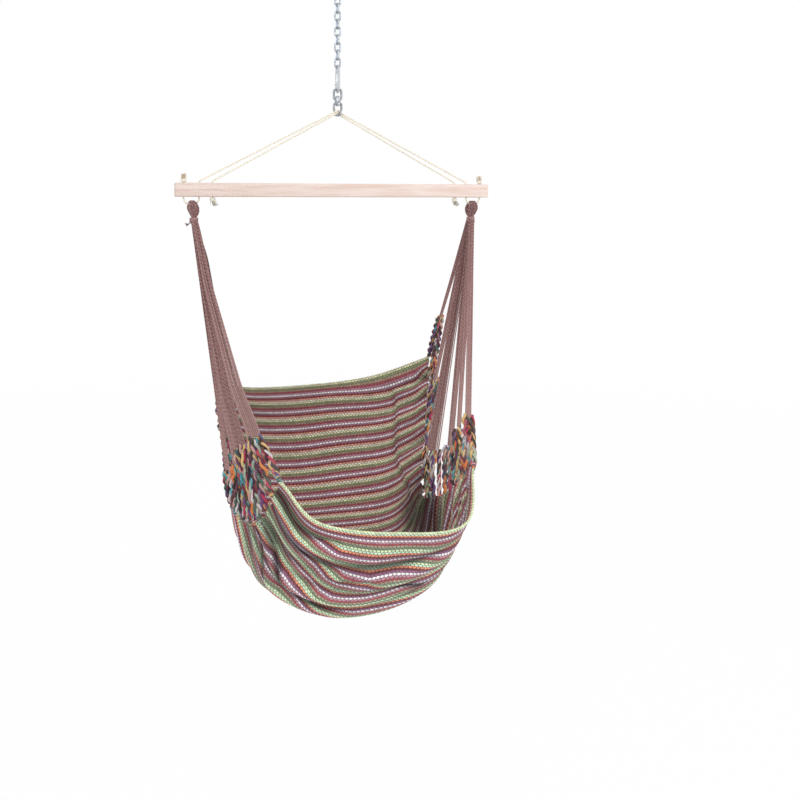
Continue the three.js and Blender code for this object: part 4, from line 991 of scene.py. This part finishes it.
random.seed(23)
for label, side in (("left", -1), ("right", 1)):
    for k in range(group_count):
        top, end = group_route(side, k)
        down, wide, _ = ribbon_axes(top, end)
        strands, thick, tones = [], [], []
        for s in range(braids_in_group):
            v = (k * braids_in_group + s) / (group_count * braids_in_group - 1)
            foot, root = edge_place(side, v), edge_place(side, v, braid_root_inset)
            head = end + wide * (s - 1) * braid_spreads[side][k] + down * random.uniform(-0.012, 0.006)
            knee = head + down * 0.020
            sway = np.array((0, random.uniform(-0.004, 0.004), random.uniform(-0.003, 0.003)))
            line = rounded_path([(head - down * 0.002, 0), (knee, 0.03),
                                 ((knee + foot) / 2 + sway, 0.08), (foot, 0)])
            width, height = random.uniform(0.0055, 0.0075), random.uniform(0.003, 0.005)
            pitch, turn = random.uniform(0.06, 0.10), random.uniform(0, math.pi)
            for strand in plait(line, width, height, pitch, turn):
                strands.append(strand)
                thick.append([1.0] * len(strand))
                tones.append(random.random())
            upward = unit(knee - foot)
            strands.append(knot_turns(foot + upward * braid_knot_height, upward, braid_knot_radius,
                                      braid_knot_turns, braid_knot_height))
            thick.append([0.85] * len(strands[-1]))
            tones.append(random.random())
            strands.append([foot, foot * 0.5 + root * 0.5, root])
            thick.append([0.9, 0.7, 0.4])
            tones.append(random.random())
        piece = tubes("%s_braid_%d_shown" % (label, k + 1), strands, braid_yarn_thick, braid_yarn,
                      sides=6, sizes=thick, tones=tones)
        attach(piece, "sling")
        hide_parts("%s_braid_%d" % (label, k + 1))


# Studio: a pale floor under the hanging chair, a white surround and three large soft lamps.
# What the camera sees straight on is white, and fades to it with distance; the light on the chair
# is softer than that.
floor_height = -2.35
floor_half = 30
fade_start, fade_end = 3.0, 9.0


def seen_straight(tree):
    rays = add(tree, "ShaderNodeLightPath")
    mirrored = calc(tree, "MAXIMUM", rays.outputs["Is Glossy Ray"], rays.outputs["Is Transmission Ray"])
    return calc(tree, "MAXIMUM", rays.outputs["Is Camera Ray"], mirrored)


floor_finish, tree, shader = new_finish("studio_floor", 0.9)
shader.inputs["Base Color"].default_value = (0.86, 0.86, 0.86, 1)
white = add(tree, "ShaderNodeEmission", None, {"Color": (1, 1, 1, 1), "Strength": 1.0})
far = add(tree, "ShaderNodeVectorMath", {"operation": "LENGTH"}, {0: object_place(tree)})
fade = mapped(tree, far.outputs["Value"], fade_start, fade_end, 0.965, 1.0)
mix = add(tree, "ShaderNodeMixShader", None,
          {0: calc(tree, "MULTIPLY", seen_straight(tree), fade), 1: shader.outputs[0], 2: white.outputs[0]})
tree.links.new(mix.outputs[0], tree.nodes["Material Output"].inputs["Surface"])
mesh = bpy.data.meshes.new("studio_floor")
corners = ((-1, -1), (1, -1), (1, 1), (-1, 1))
mesh.from_pydata([(x * floor_half, y * floor_half, floor_height) for x, y in corners], [], [(0, 1, 2, 3)])
mesh.materials.append(floor_finish)
floor = placed("studio_floor", mesh)

world = bpy.data.worlds.new("studio")
bpy.context.scene.world = world
world.use_nodes = True
tree = world.node_tree
tree.nodes.clear()
strength = calc(tree, "MULTIPLY_ADD", seen_straight(tree), 0.36, 0.64)
light = add(tree, "ShaderNodeBackground", None, {"Color": (1, 1, 1, 1), "Strength": strength})
add(tree, "ShaderNodeOutputWorld", None, {"Surface": light.outputs[0]})

for name, place, aim_height, size, power in (
        ("key", (-2.2, -3.2, 1.2), -1.2, 2.0, 66),
        ("fill", (2.6, -2.6, 0.2), -1.2, 2.4, 34),
        ("back", (0.6, 3.0, 1.6), -1.0, 2.0, 45)):
    data = bpy.data.lights.new(name, "AREA")
    data.shape = "DISK"
    data.size = size
    data.energy = power
    lamp = placed(name, data)
    lamp.location = place
    x, y, z = np.array((0, 0, aim_height)) - np.array(place)
    lamp.rotation_euler = (math.atan2(math.hypot(x, y), -z), 0, math.atan2(y, x) - math.pi / 2)
bpy.context.scene.view_settings.view_transform = "Standard"
